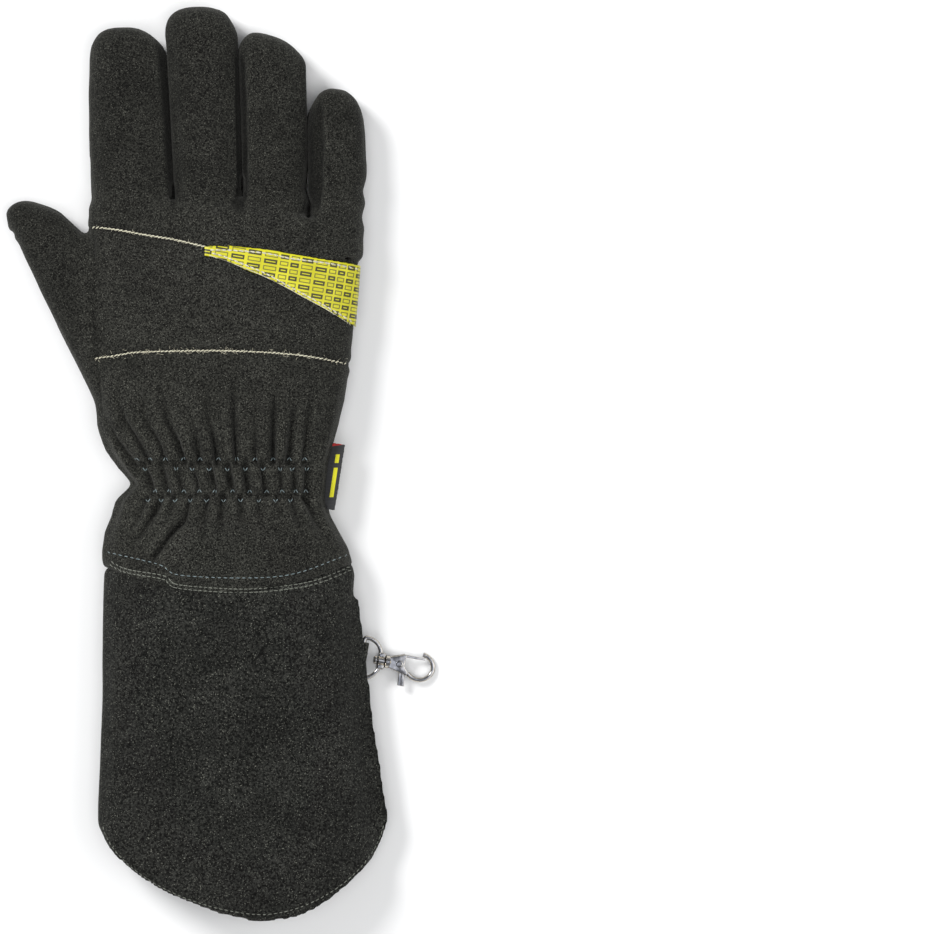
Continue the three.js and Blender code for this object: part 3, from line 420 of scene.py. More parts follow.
def finished(name, form, material, body, slot, *nodes, sharp=50):
    """A piece with its finish, riding on its body in place of its nodes."""
    mesh = bpy.data.meshes.new(name)
    if "tone" not in form.verts.layers.float:
        layer = form.verts.layers.float.new("tone")
        for vertex in form.verts:
            vertex[layer] = 1.0
    form.to_mesh(mesh)
    form.free()
    mesh.shade_smooth()
    mesh.set_sharp_from_angle(angle=math.radians(sharp))
    mesh.materials.append(material)
    piece = bpy.data.objects.new(name, mesh)
    bpy.context.scene.collection.objects.link(piece)
    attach(piece, body)
    if nodes:
        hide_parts(*nodes)
    return piece


KNUCKLE_SEAM = curve_through(
    [(-63.4, 93.0), (-51.4, 91.5), (-36.0, 88.7), (-24.0, 86.7), (-8.6, 83.2)]
)
BACK_SEAM = curve_through([(-62.5, 90.0), (-62.0, 58.4), (-60.8, 30.1), (-58.5, 4.7)])
WRIST_SEAM = curve_through(
    [(-61.9, 30.1), (-50.4, 31.5), (-38.4, 33.0), (1.9, 33.5), (36.0, 31.5), (60.5, 27.2)]
)
HEM_STITCHES = curve_through(
    [(-56.5, -62.3), (-30.2, -68.3), (-22.1, -73.0), (7.2, -74.6), (33.1, -72.8), (59.5, -63.6)]
)
# The back's seams: the line, its groove's depth and width, how much painted shade lies along it and over what
# width, and
# the swelling beside it: its height, distance and width, and whether it is on the left side alone.
BACK_SEAMS = (
    (KNUCKLE_SEAM, 0.75, 1.3, 0.45, 1.2, 0.45, 3.0, 2.4, True),
    (BACK_SEAM, 0.5, 1.1, 0.35, 1.0, 0.0, 0.0, 1.0, False),
    (WRIST_SEAM, 0.9, 1.5, 0.35, 1.4, 0.45, 3.6, 2.6, False),
)
# Ridges where a strip is sewn to the back: the line, the strip's side, its reach and how much painted shade
# the strip gets.
RIDGES = (
    ([(-35.8, 186), (-35.0, 176), (-33.6, 154), (-32.4, 130), (-31.2, 110), (-29.5, 101)], 1, 2.6, 0.35),
    ([(9.8, 180), (10.8, 172), (11.6, 140), (12.2, 112), (10.6, 104)], -1, 6.5, 0.62),
    ([(44.8, 158), (47.8, 148), (48.2, 120), (46.6, 102), (43.0, 94)], -1, 9.0, 0.42),
)
# Fingertips: where the shaping starts, how far the tip is raised, and the x beyond which it slopes
# down to the right, with its slope.
FINGERTIPS = (
    (168, 1.5, -41.0, 0.42), (178, 1.3, 0.5, 1.15), (162, 3.4, 10.5, 0.33), (132, 1.2, 57.0, 0.50),
)
# The shaping comes in over this length.
TIP_REACH = 16
# The same towards the left: the x and the slope.
FINGERTIPS_LEFT = ((-58.0, 0.4), (-40.0, 0.0), (9.5, 1.5), (46.0, 1.1))
# How far the little finger's side of the hand is drawn out at each y.
OUTER_SIDE = (
    (70, 0.0), (80, -1.4), (87, -1.0), (93, -0.7), (99, 2.2), (105, 2.0), (110, 3.6), (118, 1.1), (126, 0.0),
)
# How far the thumb's upper side is lowered at each x.
THUMB_SIDE = ((-102, -0.6), (-98, 0.3), (-90.5, 4.3), (-83, 4.6), (-76, 1.0), (-72, 0.0))
# How far the thumb's outer side is moved inwards at each y.
THUMB_END = ((50, 0.0), (64, 1.2), (76, 1.6), (87, 1.3), (93, -0.3), (100, -1.7))
ELASTIC_ROWS = (-20.3, -35.6)
# Folds of the gathers, each a line of x, y and depth.
FOLDS = (
    ((-57, 4, 0), (-52, -8, 0.8), (-45, -18, 1.2), (-41, -24, 0.8)),
    ((-51, 14, 0), (-47.5, 0, 0.9), (-39.5, -12, 1.4), (-35.1, -20, 1.5)),
    ((-40, 12, 0), (-37.2, 0, 0.6), (-31, -10, 1.0), (-27.6, -20, 1.4)),
    ((-32, 24, 0), (-26.9, 1, 1.1), (-22, -10, 1.6), (-19.2, -20, 1.6)),
    ((-17.5, 8, 0), (-15.8, 0, 0.5), (-12.5, -10, 0.9), (-11.1, -20, 1.4)),
    ((-10, 22, 0), (-7.2, 1, 1.0), (-4, -10, 1.4), (-2.3, -20, 1.5)),
    ((4.5, 27, 0), (5.2, 1, 1.3), (6, -10, 1.8), (6.5, -20, 1.7)),
    ((15, 6, 0), (15.1, -4, 0.6), (15.1, -20, 1.3)),
    ((25.5, 24, 0), (24.1, 1, 1.2), (23.6, -10, 1.6), (23.5, -20, 1.6)),
    ((35, 9, 0), (33, -2, 0.8), (31.4, -20, 1.4)),
    ((43, 16, 0), (40.5, 0, 0.9), (38.6, -20, 1.3)),
    ((-39, -21, 0.8), (-36, -28, 1.2), (-33.5, -35, 0.9)),
    ((-30.3, -21, 0.9), (-28, -28, 1.4), (-25.9, -35, 1.0)),
    ((-22.6, -21, 0.9), (-20.7, -28, 1.4), (-18.8, -35, 1.0)),
    ((-14.9, -21, 0.9), (-13.2, -28, 1.4), (-11.5, -35, 1.0)),
    ((-6.8, -21, 0.9), (-5.4, -28, 1.4), (-4, -35, 1.0)),
    ((1.8, -21, 0.9), (3.1, -28, 1.4), (4.4, -35, 1.0)),
    ((10.4, -21, 0.9), (11.4, -28, 1.4), (12.5, -35, 1.0)),
    ((18.9, -21, 0.9), (19.8, -28, 1.4), (20.6, -35, 1.0)),
    ((27, -21, 0.9), (27.5, -28, 1.4), (27.9, -35, 1.0)),
    ((33.6, -21, 0.9), (34, -28, 1.3), (34.4, -35, 1.0)),
    ((40.5, -21, 0.8), (40, -28, 1.1), (39.5, -35, 0.8)),
    ((-37, -36, 1.0), (-40.5, -44, 0.8), (-44, -52, 0)),
    ((-29.9, -36, 1.2), (-33, -44, 1.2), (-39.8, -54, 0.8), (-46, -60, 0)),
    ((-23.1, -36, 1.1), (-25, -44, 0.5), (-28, -50, 0)),
    ((-15.8, -36, 1.3), (-19, -47, 1.3), (-26, -55, 1.8), (-32, -63, 1.5), (-36, -69, 0)),
    ((-8.1, -36, 1.2), (-9.5, -46, 0.7), (-12, -58, 0)),
    ((0, -36, 1.2), (-1, -46, 0.7), (-2, -57, 0)),
    ((8.2, -36, 1.2), (9, -44, 0.7), (10, -54, 0)),
    ((16.8, -36, 1.1), (18, -44, 0.6), (20, -52, 0)),
    ((24.9, -36, 1.1), (27, -44, 0.5), (29, -50, 0)),
    ((31.8, -36, 1.2), (34.5, -45, 0.9), (39, -54, 0)),
    ((39, -36, 1.2), (44, -46, 1.0), (48.5, -56, 0)),
)
FOLD_WIDTH, FOLD_SHOULDER, FOLD_FAR = 1.7, 4.2, 8
TONE_SPAN = (0.2, 1.7)


def folded(points, folds, width):
    """How deep the folds are at each point."""
    deep = np.zeros(len(points))
    for fold in folds:
        line = np.array(fold)
        (_, top, _), (_, foot, _) = fold[0], fold[-1]
        near = np.abs(points[:, 1] - (top + foot) / 2) < abs(top - foot) / 2 + FOLD_FAR
        lengths = np.concatenate([[0], np.cumsum(np.hypot(*np.diff(line[:, :2], axis=0).T))])
        off, _, run = from_line(points[near], line[:, :2])
        deep[near] = np.maximum(deep[near], np.interp(run, lengths, line[:, 2]) * hump(off, width))
    return deep


def fold_forms(points, folds, raised, depth, pale, dark):
    """Height and tone of folds, each a valley with painted shade between two shoulders with painted
    highlights.
    """
    deep = folded(points, folds, FOLD_WIDTH)
    shoulder = np.clip(folded(points, folds, FOLD_SHOULDER) - deep, 0, 1)
    return raised * shoulder - depth * deep, pale * shoulder - dark * deep


def seam_forms(points, seams):
    """Height and tone of seams, each a groove darkened with painted shade, with a swelling beside it."""
    height, tone = np.zeros(len(points)), np.zeros(len(points))
    for line, depth, width, dark, painted_shade_width, swell, distance, reach, left_alone in seams:
        off, side, _ = from_line(points, line)
        height += swell * hump(off - distance, reach) * ((side > 0) | (not left_alone))
        height -= depth * hump(off, width)
        # Painted shade along the groove.
        tone -= dark * hump(off, painted_shade_width)
    return height, tone


def back_relief(points):
    """Height, and tone with painted shade and highlights, over the back of the hand."""
    x, y = points[:, 0], points[:, 1]
    height, tone = seam_forms(points, BACK_SEAMS)
    height += 0.30 * waves(points, 46, 3) + 0.12 * waves(points, 15, 4)
    tone += 1 + 0.10 * waves(points, 30, 8)

    for ridge, outward, reach, dark in RIDGES:
        off, side, run = from_line(points, curve_through(ridge))
        strip = (side * outward > 0) & (off < reach)
        along = ease(run / 12) * ease((y - 96) / 8)
        strength = ease((off - 0.2) / 1.2) * strip * along
        height += 0.5 * hump(off - 0.9, 1.0) * ~strip * along - 0.9 * strength
        # A painted highlight along the ridge beside the strip, and painted shade over the strip.
        tone += 0.22 * hump(off - 0.7, 0.8) * ~strip * along - dark * strength
    for (line, opened, _), (start, *_) in zip(cleft_lines(y), CLEFTS):
        near = hump(x - line, 2.4) * np.clip(opened / FINGER_SPREAD, 0, 1)
        root = hump(x - line, 1.1) * ease((y - start - 5) / 2) * ease((start + 16 - y) / 4)
        height += 0.4 * near - 1.8 * root
        # Painted shade in the gaps between the fingers.
        tone -= 0.5 * near + 0.6 * root

    # The folds' valleys get painted shade and their shoulders painted highlights.
    fold_height, fold_shade_and_highlight = fold_forms(points, FOLDS, 0.8, 2.1, 0.46, 0.48)
    height += fold_height
    tone += fold_shade_and_highlight
    for row in ELASTIC_ROWS:
        height -= 0.8 * hump(y - row, 2.8) * ease((52 - np.abs(x)) / 12)

    off, _, _ = from_line(points, HEM_STITCHES)
    height -= 0.28 * hump(off, 0.9)
    tone -= np.maximum(0.21 * ease((y - 95) / 20), 0.29 * ease((-66 - x) / 8))
    return height, np.clip(tone, *TONE_SPAN)


THUMB_SEAM = curve_through(
    [(-3.8, -84), (-3.8, -73.6), (-1.9, -48.1), (-2.9, -16.9), (-7.2, 10.4), (-12.5, 24.8),
     (-20.2, 36.3), (-28.8, 42.6), (-45.1, 55.5), (-55.2, 61.8), (-66.2, 74.3)]
)
THUMB_FACE_SEAM = curve_through(
    [(-7.2, 10.4), (-26.4, 24.8), (-37.9, 33.9), (-55.2, 55.5), (-75.8, 79.5), (-83.0, 86.7), (-104, 90.6)]
)
# As in BACK_SEAMS.
PALM_SEAMS = (
    (THUMB_SEAM, 0.9, 0.95, 0.55, 0.85, 0.4, 2.2, 1.6, False),
    (THUMB_FACE_SEAM, 0.8, 0.95, 0.55, 0.85, 0.4, 2.2, 1.6, False),
)
# The crescent across the roots of the fingers, where the palm's leather stands up, with a painted highlight on
# it and painted shade beside it.
FINGER_BASE = curve_through(
    [(60, 72), (54.7, 73.8), (40.3, 76.7), (26.9, 79.5), (17.8, 85.8), (6.7, 90.1), (-7.2, 94.4),
     (-20.2, 92.5), (-30.7, 88.7)]
)
# Folds of the palm's gathers and creases of the palm, as in FOLDS.
WRINKLES = (
    ((36, -20, 0), (34, -28, 1.2), (36, -37, 0)),
    ((28, -18, 0), (25, -29, 1.2), (28, -38, 0)),
    ((19, -19, 0), (17, -29, 1.1), (19, -38, 0)),
    ((2, -20, 0), (0, -30, 1.0), (2, -40, 0)),
    ((-10, -18, 0), (-11, -30, 1.3), (-15, -42, 0.8), (-14, -52, 0)),
    ((-18, -16, 0), (-20, -29, 1.3), (-26, -40, 1.1), (-25, -54, 0)),
    ((-28, -14, 0), (-30, -28, 1.4), (-36, -39, 1.2), (-37, -54, 0)),
    ((-38, -12, 0), (-40, -26, 1.4), (-46, -37, 1.2), (-49, -52, 0)),
    ((-46, -15, 0), (-50, -27, 1.2), (-55, -38, 0)),
)
CREASE_WIDTH = 4.5
PALM_CREASES = (
    ((44, 66, 0), (30, 58, 0.6), (12, 56, 0.7), (-6, 60, 0)),
    ((-30, 70, 0), (-20, 52, 0.6), (-14, 34, 0.6), (-12, 20, 0)),
    ((38, 40, 0), (30, 24, 0.5), (26, 6, 0)),
)


def palm_relief(points):
    """Height, and tone with painted shade and highlights, over the palm and the thumb's front."""
    height, tone = seam_forms(points, PALM_SEAMS)
    height += 0.28 * waves(points, 42, 21) + 0.12 * waves(points, 14, 22)
    tone += 1 + 0.12 * waves(points, 34, 23)
    off, side, _ = from_line(points, FINGER_BASE)
    height += 0.55 * hump(off - 0.8, 1.6) * (side < 0) - 1.0 * hump(off + 0.4, 2.6) * (side > 0)
    # A painted highlight on the crescent and painted shade beside it.
    tone += 0.50 * hump(off, 1.1) - 0.30 * hump(off - 2.4, 2.4) * (side > 0)
    fold_height, fold_shade_and_highlight = fold_forms(points, WRINKLES, 0.6, 1.7, 0.35, 0.45)
    deep = folded(points, PALM_CREASES, CREASE_WIDTH)
    height += fold_height - 0.9 * deep
    # Painted shade in the folds and creases, and painted highlights on the folds' shoulders.
    tone += fold_shade_and_highlight - 0.15 * deep
    off, _, _ = from_line(points, HEM_STITCHES)
    height -= 0.25 * hump(off, 0.9)
    return height, np.clip(tone, *TONE_SPAN)


def hand_relief(points, normals):
    """The back's relief turning into the palm's across the side seam."""
    share = ease((points[:, 2] - SIDE_SEAM_Z + 4) / 8)
    back, back_shade_and_tone = back_relief(points)
    palm, palm_shade_and_tone = palm_relief(points)
    seam = hump(points[:, 2] - SIDE_SEAM_Z, 1.3)
    height = share * back + (1 - share) * palm - 0.5 * seam
    for line, opened, _ in cleft_lines(points[:, 1]):
        facing = ease((np.abs(normals[:, 0]) - 0.5) / 0.3)
        height += FINGER_PRESS * facing * hump(points[:, 0] - line, 3.0) * opened / FINGER_SPREAD
    height = np.where(points[:, 2] < 2, np.minimum(height, 0), height)
    # Painted shade along the side seam.
    return height, share * back_shade_and_tone + (1 - share) * palm_shade_and_tone - 0.3 * seam


def shaped_tips(points):
    """The ends of the fingers and thumb drawn out or cut away, as they are sewn."""
    moved = points.copy()
    x, y = points[:, 0], points[:, 1]
    finger = sum((x > line).astype(int) for line, _, _ in cleft_lines(y))
    for i, (tip, (left, left_slope)) in enumerate(zip(FINGERTIPS, FINGERTIPS_LEFT)):
        start, raised, corner, slope = tip
        change = raised - slope * np.maximum(x - corner, 0) - left_slope * np.maximum(left - x, 0)
        change *= ease((y - start) / TIP_REACH)
        moved[:, 1] += np.where(finger == i, change, 0)
    moved[:, 1] -= np.interp(x, *zip(*THUMB_SIDE)) * ease((y - 80) / 22) * (x < -70)
    moved[:, 0] += np.interp(y, *zip(*THUMB_END)) * ease((-80 - x) / 12)
    moved[:, 0] += np.interp(y, *zip(*OUTER_SIDE)) * ease((x - 50) / 12)
    return moved


hand = solid_copy(*HAND_PANELS, *STRIPS)
put(hand, drawn_apart(shaped_tips(places(hand))))
hand.normal_update()
hand = even_skin(swollen(hand, SWELL), WALL_CELL, 12)
for start, _, corner, _ in FINGERTIPS:
    tip = [v for v in hand.verts if v.co.y > (start - 10) * MM and abs(v.co.x / MM - corner) < 40]
    smoothed(hand, tip, 6)
outer = [v for v in hand.verts if v.co.x > 50 * MM and 84 * MM < v.co.y < 128 * MM]
smoothed(hand, outer, 10)
hand.normal_update()
hand = worked(hand, hand_relief, laid_back)
back_form, palm_form = halved(hand, True), halved(hand, False)
hand.free()
for half in (back_form, palm_form):
    put(half, leaned(laid_back(places(half))))
    half.normal_update()
back_tree, palm_tree = BVHTree.FromBMesh(back_form), BVHTree.FromBMesh(palm_form)
finished(
    "hand_back", back_form, back_suede, "root", "back_suede",
    "back_fingers_panel", "back_hand_panel", *STRIPS,
)
finished("hand_palm", palm_form, palm_suede, "root", "palm_suede", "palm_panel", "thumb_panel")

# The cuff: a long tube of coarser split leather, sewn into the hand's hem.
# Its two panels meet in flat side seams, the one by the little finger with a wide
# flange, and its end is cut to a curve and edged with stitches.

CUFF_CELL = 1.2 * MM
# The flange slopes up to the tube over this width, behind its rim.
FLANGE_SLOPE, FLANGE_RIM, FLANGE_ROUNDS = 28, 1.6, 110
# Its rim is looked for in bands of this length along the cuff.
BAND = 2
# How far the end of the cuff is raised at each x.
CUFF_END = (
    (-61, 4.6), (-55, 1.2), (-40, 1.9), (-14, 1.5), (0, 0.0), (25, 0.0),
    (40, -1.4), (48, -0.8), (55, 0.2), (66, 1.3), (72, 1.5), (78, 3.2),
)
# How far the edge of its wide flange stands out at each y.
CUFF_FLANGE = (
    (-200, 0.9), (-170, 1.3), (-150, 1.5), (-132, 1.0), (-112, 0.2), (-97, 0.2),
    (-88, 0.4), (-82, 1.8), (-74, 2.8),
)


def trimmed(points):
    """The cuff's end and sides cut to their line."""
    moved = points.copy()
    x, y, z = points.T
    moved[:, 1] += np.interp(x, *zip(*CUFF_END)) * ease((-165 - y) / 45)
    moved[:, 0] += np.interp(y, *zip(*CUFF_FLANGE)) * ease((x - 35) / 30) * ease((z - 10) / 3)
    moved[:, 0] += 0.7 * ease((-45 - x) / 12)
    return moved


def cuff_relief(points, normals):
    """Soft dents in the open part of the tube, and its side seams."""
    y, z = points[:, 1], points[:, 2]
    open_part = ease((-92 - y) / 20)
    height = open_part * (0.75 * waves(points * (1, 0.55, 1), 62, 31) + 0.18 * waves(points, 19, 32))
    height *= np.where(z < 9, 0.12, 1.0)
    tone = 1 + 0.14 * waves(points, 40, 33)
    seam = hump(z - SIDE_SEAM_Z, 1.1)
    # The side seams' grooves get painted shade.
    return height - 0.35 * seam, tone - 0.3 * seam


cuff = even_skin(swollen(solid_copy("cuff_back", "cuff_palm"), SWELL), CUFF_CELL, 12)
put(cuff, trimmed(places(cuff)))
cuff.normal_update()
points, reached = places(cuff), on_outside(cuff)
bands = (points[:, 1] // BAND).astype(int)
bands -= bands.min()
edge = np.full(bands.max() + 1, -1e9)
np.maximum.at(edge, bands, points[:, 0])
inward = edge[bands] - points[:, 0]
slope = (inward < FLANGE_SLOPE) & (inward > FLANGE_RIM) & (points[:, 2] > SIDE_SEAM_Z + 0.6) & reached
smoothed(cuff, [vertex for vertex, chosen in zip(cuff.verts, slope) if chosen], FLANGE_ROUNDS)
cuff.normal_update()
cuff = worked(cuff, cuff_relief)
upper_form, lower_form = halved(cuff, True), halved(cuff, False)
cuff.free()
upper_tree, lower_tree = BVHTree.FromBMesh(upper_form), BVHTree.FromBMesh(lower_form)
finished("cuff_upper", upper_form, cuff_suede, "root", "cuff_suede", "cuff_back")
finished("cuff_lower", lower_form, cuff_suede, "root", "cuff_suede", "cuff_palm")

# The closing strap, its pull tab and the patches on the palm side of the cuff.
# They are cut from the same leather and sewn down, and their cut edges show pale.

HALF_ROUND_EDGE = [
    (41.0, -88), (39.3, -104), (31.5, -119), (17, -130.5), (-5, -136.8),
    (-27, -130.5), (-41.5, -119), (-49.3, -104), (-51, -88),
]
STRAP_ROWS = [
    [(61, -153.2), (20, -158.0), (-42.0, -165.4)],
    [(64.0, -176.6), (20, -181.8), (-39.6, -189.0)],
    [(-31.8, -168.5), (-30.2, -186.0)],
]
LOOP_ROWS = [
    [(-58.0, -159.8), (-46, -161.0)],
    [(-58.2, -161.5), (-58.2, -181.8)],
    [(-58.0, -182.6), (-50, -183.5)],
]
SEWN_DOWN = {"half_round_patch": [HALF_ROUND_EDGE], "closure_strap": STRAP_ROWS, "loop_patch": LOOP_ROWS}


def cut_edges(points, normals):
    """Nearly flat faces, with the cut edges paler."""
    height = 0.10 * waves(points, 24, 41) + 0.05 * waves(points, 7, 42)
    return height, 1.05 + 0.10 * waves(points, 20, 43) + 0.9 * (np.abs(normals[:, 2]) < 0.9)


def sewn_relief(name):
    """Cut edges, and a shallow groove with painted shade under each row of stitches."""
    def relief(points, normals):
        height, tone = cut_edges(points, normals)
        for row in SEWN_DOWN.get(name, ()):
            groove = hump(from_line(points, curve_through(row))[0], 0.8)
            height -= 0.42 * groove
            # Painted shade in the groove.
            tone -= 0.25 * groove
        return height, tone
    return relief


trims = {}
for name, cell, leather, slot in (
    ("half_round_patch", 0.75, cuff_suede, "cuff_suede"),
    ("closure_strap", 0.8, strap_suede, "strap_suede"),
    ("pull_tab", 0.6, strap_suede, "strap_suede"),
    ("ring_loop", 0.5, strap_suede, "strap_suede"),
):
    form = worked(even_skin(solid_copy(name), cell * MM, 3), sewn_relief(name))
    trims[name] = BVHTree.FromBMesh(form)
    finished(f"{name}_leather", form, leather, "root", slot, name)

# The loop patch that the strap closes on.
# It is a black pile of nylon loops, sewn round its edge.

pile = Paint("loop_pile", {"Roughness": 0.85, "Sheen Weight": 0.3, "Specular IOR Level": 0.3})
loops = pile.node(
    "ShaderNodeTexVoronoi",
    {"feature": "F1"},
    {"Vector": pile.place(), "Scale": 1 / (0.9 * MM), "Randomness": 1.0},
    out="Distance",
)
pile.feed(
    "Base Color",
    pile.mixed(pile.between(loops, 0.15, 0.75), (0.026, 0.026, 0.024, 1), (0.007, 0.007, 0.007, 1)),
)
pile.feed("Normal", pile.bump(1 - loops, 1.0, 0.7))
pile_form = worked(even_skin(solid_copy("loop_patch"), 0.7 * MM, 2), sewn_relief("loop_patch"))
trims["loop_patch"] = BVHTree.FromBMesh(pile_form)
finished("loop_patch_pile", pile_form, pile.material, "root", "loop_pile", "loop_patch")

# The bright wedge across the knuckles.
# It is fluorescent yellow tape with a plain grid of outlined bars, topstitched along
# its upper and lower edges.

# The columns get narrower towards the edge of the hand, where the tape was stretched less: the x
# where each width starts, that width, and how many columns it has.
COLUMNS = ((-13.5, 8.0, 5), (26.5, 5.1, 2), (36.7, 6.9, 2), (50.5, 4.3, 4))
ROW, ROW_SLOPE = 3.25, math.tan(math.radians(-9))
BAR_SHARE, BAR_TALL = 0.80, 2.2
tape = Paint("reflective_tape", {"Roughness": 0.42, "Specular IOR Level": 0.35})
flat_x = tape.node("ShaderNodeSeparateXYZ", {}, {"Vector": tape.place()}, out="X") * (1 / MM)
flat_y = tape.node("ShaderNodeSeparateXYZ", {}, {"Vector": tape.place()}, out="Y") * (1 / MM)
level = (flat_y - flat_x * ROW_SLOPE) * (1 / ROW)
across = flat_x + (flat_y - 75) * ROW_SLOPE
column, wide = 0.0, 0.0
for start, width, count in COLUMNS:
    column = column + count * tape.node(
        "ShaderNodeMapRange", {}, {"Value": across, "From Min": start, "From Max": start + width * count}
    )
    begun, ended = (across.maths("GREATER_THAN", across, edge) for edge in (start, start + width * count))
    wide = wide + (begun - ended) * width
from_column = column.maths("ABSOLUTE", column.maths("FRACT", column) - 0.5)
from_row = level.maths("ABSOLUTE", level.maths("FRACT", level) - 0.5) * ROW
outside_bar = column.maths("MAXIMUM", (from_column - BAR_SHARE / 2) * wide, from_row - BAR_TALL / 2)
paired = column.maths("FLOOR", column) + level.maths("FLOOR", level)
light_bar = paired.maths("PINGPONG", paired, 1.0)
line_width = 0.84 - 0.38 * light_bar
outline = tape.between(outside_bar, 0.08, -0.06) * tape.between(outside_bar + line_width, -0.10, 0.06)
yellow = tape.mixed(
    tape.between(tape.cloud(9, 2), 0.35, 0.65), (0.50, 0.47, 0.008, 1), (0.60, 0.565, 0.016, 1)
)
ink = tape.mixed(light_bar, (0.014, 0.013, 0.012, 1), (0.13, 0.12, 0.022, 1))
tape.feed("Base Color", tape.mixed(outline * 0.94, yellow, ink))
tape.feed("Normal", tape.bump(outline * 0.4 + tape.cloud(0.8, 2) * 0.6, 0.35, 0.2))


def tape_relief(points, normals):
    """Slight waves of a stiff woven face."""
    return 0.08 * waves(points, 18, 51), np.ones(len(points))


# The tape lies on the leather, a little further out than its solid.
WEDGE_SHIFT = (0.2 * MM, 0, 0.55 * MM)
# At each x: the wedge's upper and lower edge, and how far each is drawn up.
WEDGE_EDGES = (
    (-10, 82.4, 79.6, 1.1, 1.0), (-2, 82.2, 77.6, 1.6, 1.0), (2, 81.9, 76.2, 2.2, 0.9),
    (10, 81.2, 73.6, 2.2, 0.1), (24, 80.4, 66.8, 2.2, 0.9), (30, 79.4, 63.8, 1.4, 0.3),
    (45, 77.6, 55.8, 0.9, 0.0), (63, 74.4, 45.2, 0.5, 0.0),
)


def drawn_up(points):
    """The wedge eased up over the leather that it lies on."""
    moved = points.copy()
    at, *tables = zip(*WEDGE_EDGES)
    upper, lower, raise_upper, raise_lower = (np.interp(points[:, 0], at, table) for table in tables)
    share = np.clip((points[:, 1] - lower) / (upper - lower), 0, 1)
    moved[:, 1] += share * raise_upper + (1 - share) * raise_lower
    moved[:, 0] -= 1.8 * ease((-2 - points[:, 0]) / 5)
    for old, new in zip(points, moved):
        before, after = (
            back_tree.ray_cast(Vector((x * MM, y * MM, 0.1)), Vector((0, 0, -1)))[0] for x, y, _ in (old, new)
        )
        if before and after:
            new[2] += np.clip((after.z - before.z) / MM, -0.5, 1.5)
    return moved


wedge_form = worked(even_skin(solid_copy("reflective_insert"), 0.45 * MM, 3), tape_relief)
put(wedge_form, drawn_up(places(wedge_form)))
for _ in range(3):
    bmesh.ops.smooth_vert(
        wedge_form, verts=wedge_form.verts, factor=0.5, use_axis_x=False, use_axis_y=False, use_axis_z=True
    )
bmesh.ops.translate(wedge_form, verts=wedge_form.verts, vec=WEDGE_SHIFT)
wedge_form.normal_update()
wedge_tree = BVHTree.FromBMesh(wedge_form)
finished("reflective_wedge", wedge_form, tape.material, "root", "reflective_tape", "reflective_insert")

# The woven label in the side seam of the wrist.
# It is black ribbon with a thin red edge at the top and plain yellow bars.

LABEL_LEAN, LABEL_MIDDLE, LABEL_LEVEL = 0.15, 51.2, -36.0
LABEL_BARS = ((-36.4, -22.0), (-20.0, -15.6))
label = Paint("label_cloth", {"Roughness": 0.8, "Sheen Weight": 0.15})
label_y = label.node("ShaderNodeSeparateXYZ", {}, {"Vector": label.place()}, out="Y") * (1 / MM)
label_x = label.node("ShaderNodeSeparateXYZ", {}, {"Vector": label.place()}, out="X") * (1 / MM)
ribs = label.node(
    "ShaderNodeTexWave",
    {"wave_type": "BANDS", "bands_direction": "Y"},
    {"Vector": label.place(), "Scale": 1 / (2.2 * MM), "Distortion": 0.4},
    out="Fac",
)
off_middle = label_x.maths("ABSOLUTE", label_x - LABEL_MIDDLE - (label_y - LABEL_LEVEL) * LABEL_LEAN)
bars = sum(
    label.between(label_y, low, low + 0.3) * label.between(label_y, high, high - 0.3)
    for low, high in LABEL_BARS
)
bars = bars * label.between(off_middle, 1.05, 0.85)
red_edge = label.between(label_y - label_x * 0.16, -20.3, -19.9)
cloth = label.mixed(ribs, (0.012, 0.012, 0.013, 1), (0.030, 0.031, 0.032, 1))
cloth = label.mixed(bars, cloth, (0.60, 0.57, 0.01, 1))
label.feed("Base Color", label.mixed(red_edge, cloth, (0.42, 0.02, 0.02, 1)))
label.feed("Normal", label.bump(ribs + bars * 0.5, 0.4, 0.15))
finished(
    "side_label_ribbon", worked(even_skin(solid_copy("side_label"), 0.4 * MM, 2), tape_relief),
    label.material, "root", "label_cloth", "side_label",
)

# The sewing.
# A thick cream thread holds the panels of the back, pale blue thread crosses the
# elastic in two zigzag rows and holds the hem, and grey thread edges the cuff.


def thread(name, colour, dark):
    paint = Paint(name, {"Roughness": 0.7, "Sheen Weight": 0.25})
    paint.feed("Base Color", paint.mixed(paint.between(paint.cloud(0.7, 2), 0.35, 0.65), dark, colour))
    twist = paint.node(
        "ShaderNodeTexWave",
        {"wave_type": "BANDS", "bands_direction": "DIAGONAL"},
        {"Vector": paint.place(), "Scale": 1 / (1.6 * MM)},
        out="Fac",
    )
    paint.feed("Normal", paint.bump(twist, 0.5, 0.1))
    return paint.material


def stitch(form, tree, x, y, heading, length, width, lift, above=True, sides=6):
    """One stitch laid on the surface under or over that place, if there is any."""
    start, way = Vector((x * MM, y * MM, 0.1 if above else -0.1)), Vector((0, 0, -1 if above else 1))
    spot, normal, _, _ = tree.ray_cast(start, way)
    if spot is None:
        return
    along = Vector((math.cos(heading), math.sin(heading), 0))
    along = (along - normal * along.dot(normal)).normalized()
    turn = Matrix((along, normal.cross(along), normal)).transposed().to_4x4()
    size = Matrix.Diagonal((length / 2 * MM, width / 2 * MM, width * 0.42 * MM, 1))
    spot = spot + normal * lift * MM
    spot.z = max(spot.z, width * 0.5 * MM)
    bmesh.ops.create_uvsphere(
        form, u_segments=sides, v_segments=sides - 1, radius=1,
        matrix=Matrix.Translation(spot) @ turn @ size @ Matrix.Rotation(math.pi / 2, 4, "Y"),
    )


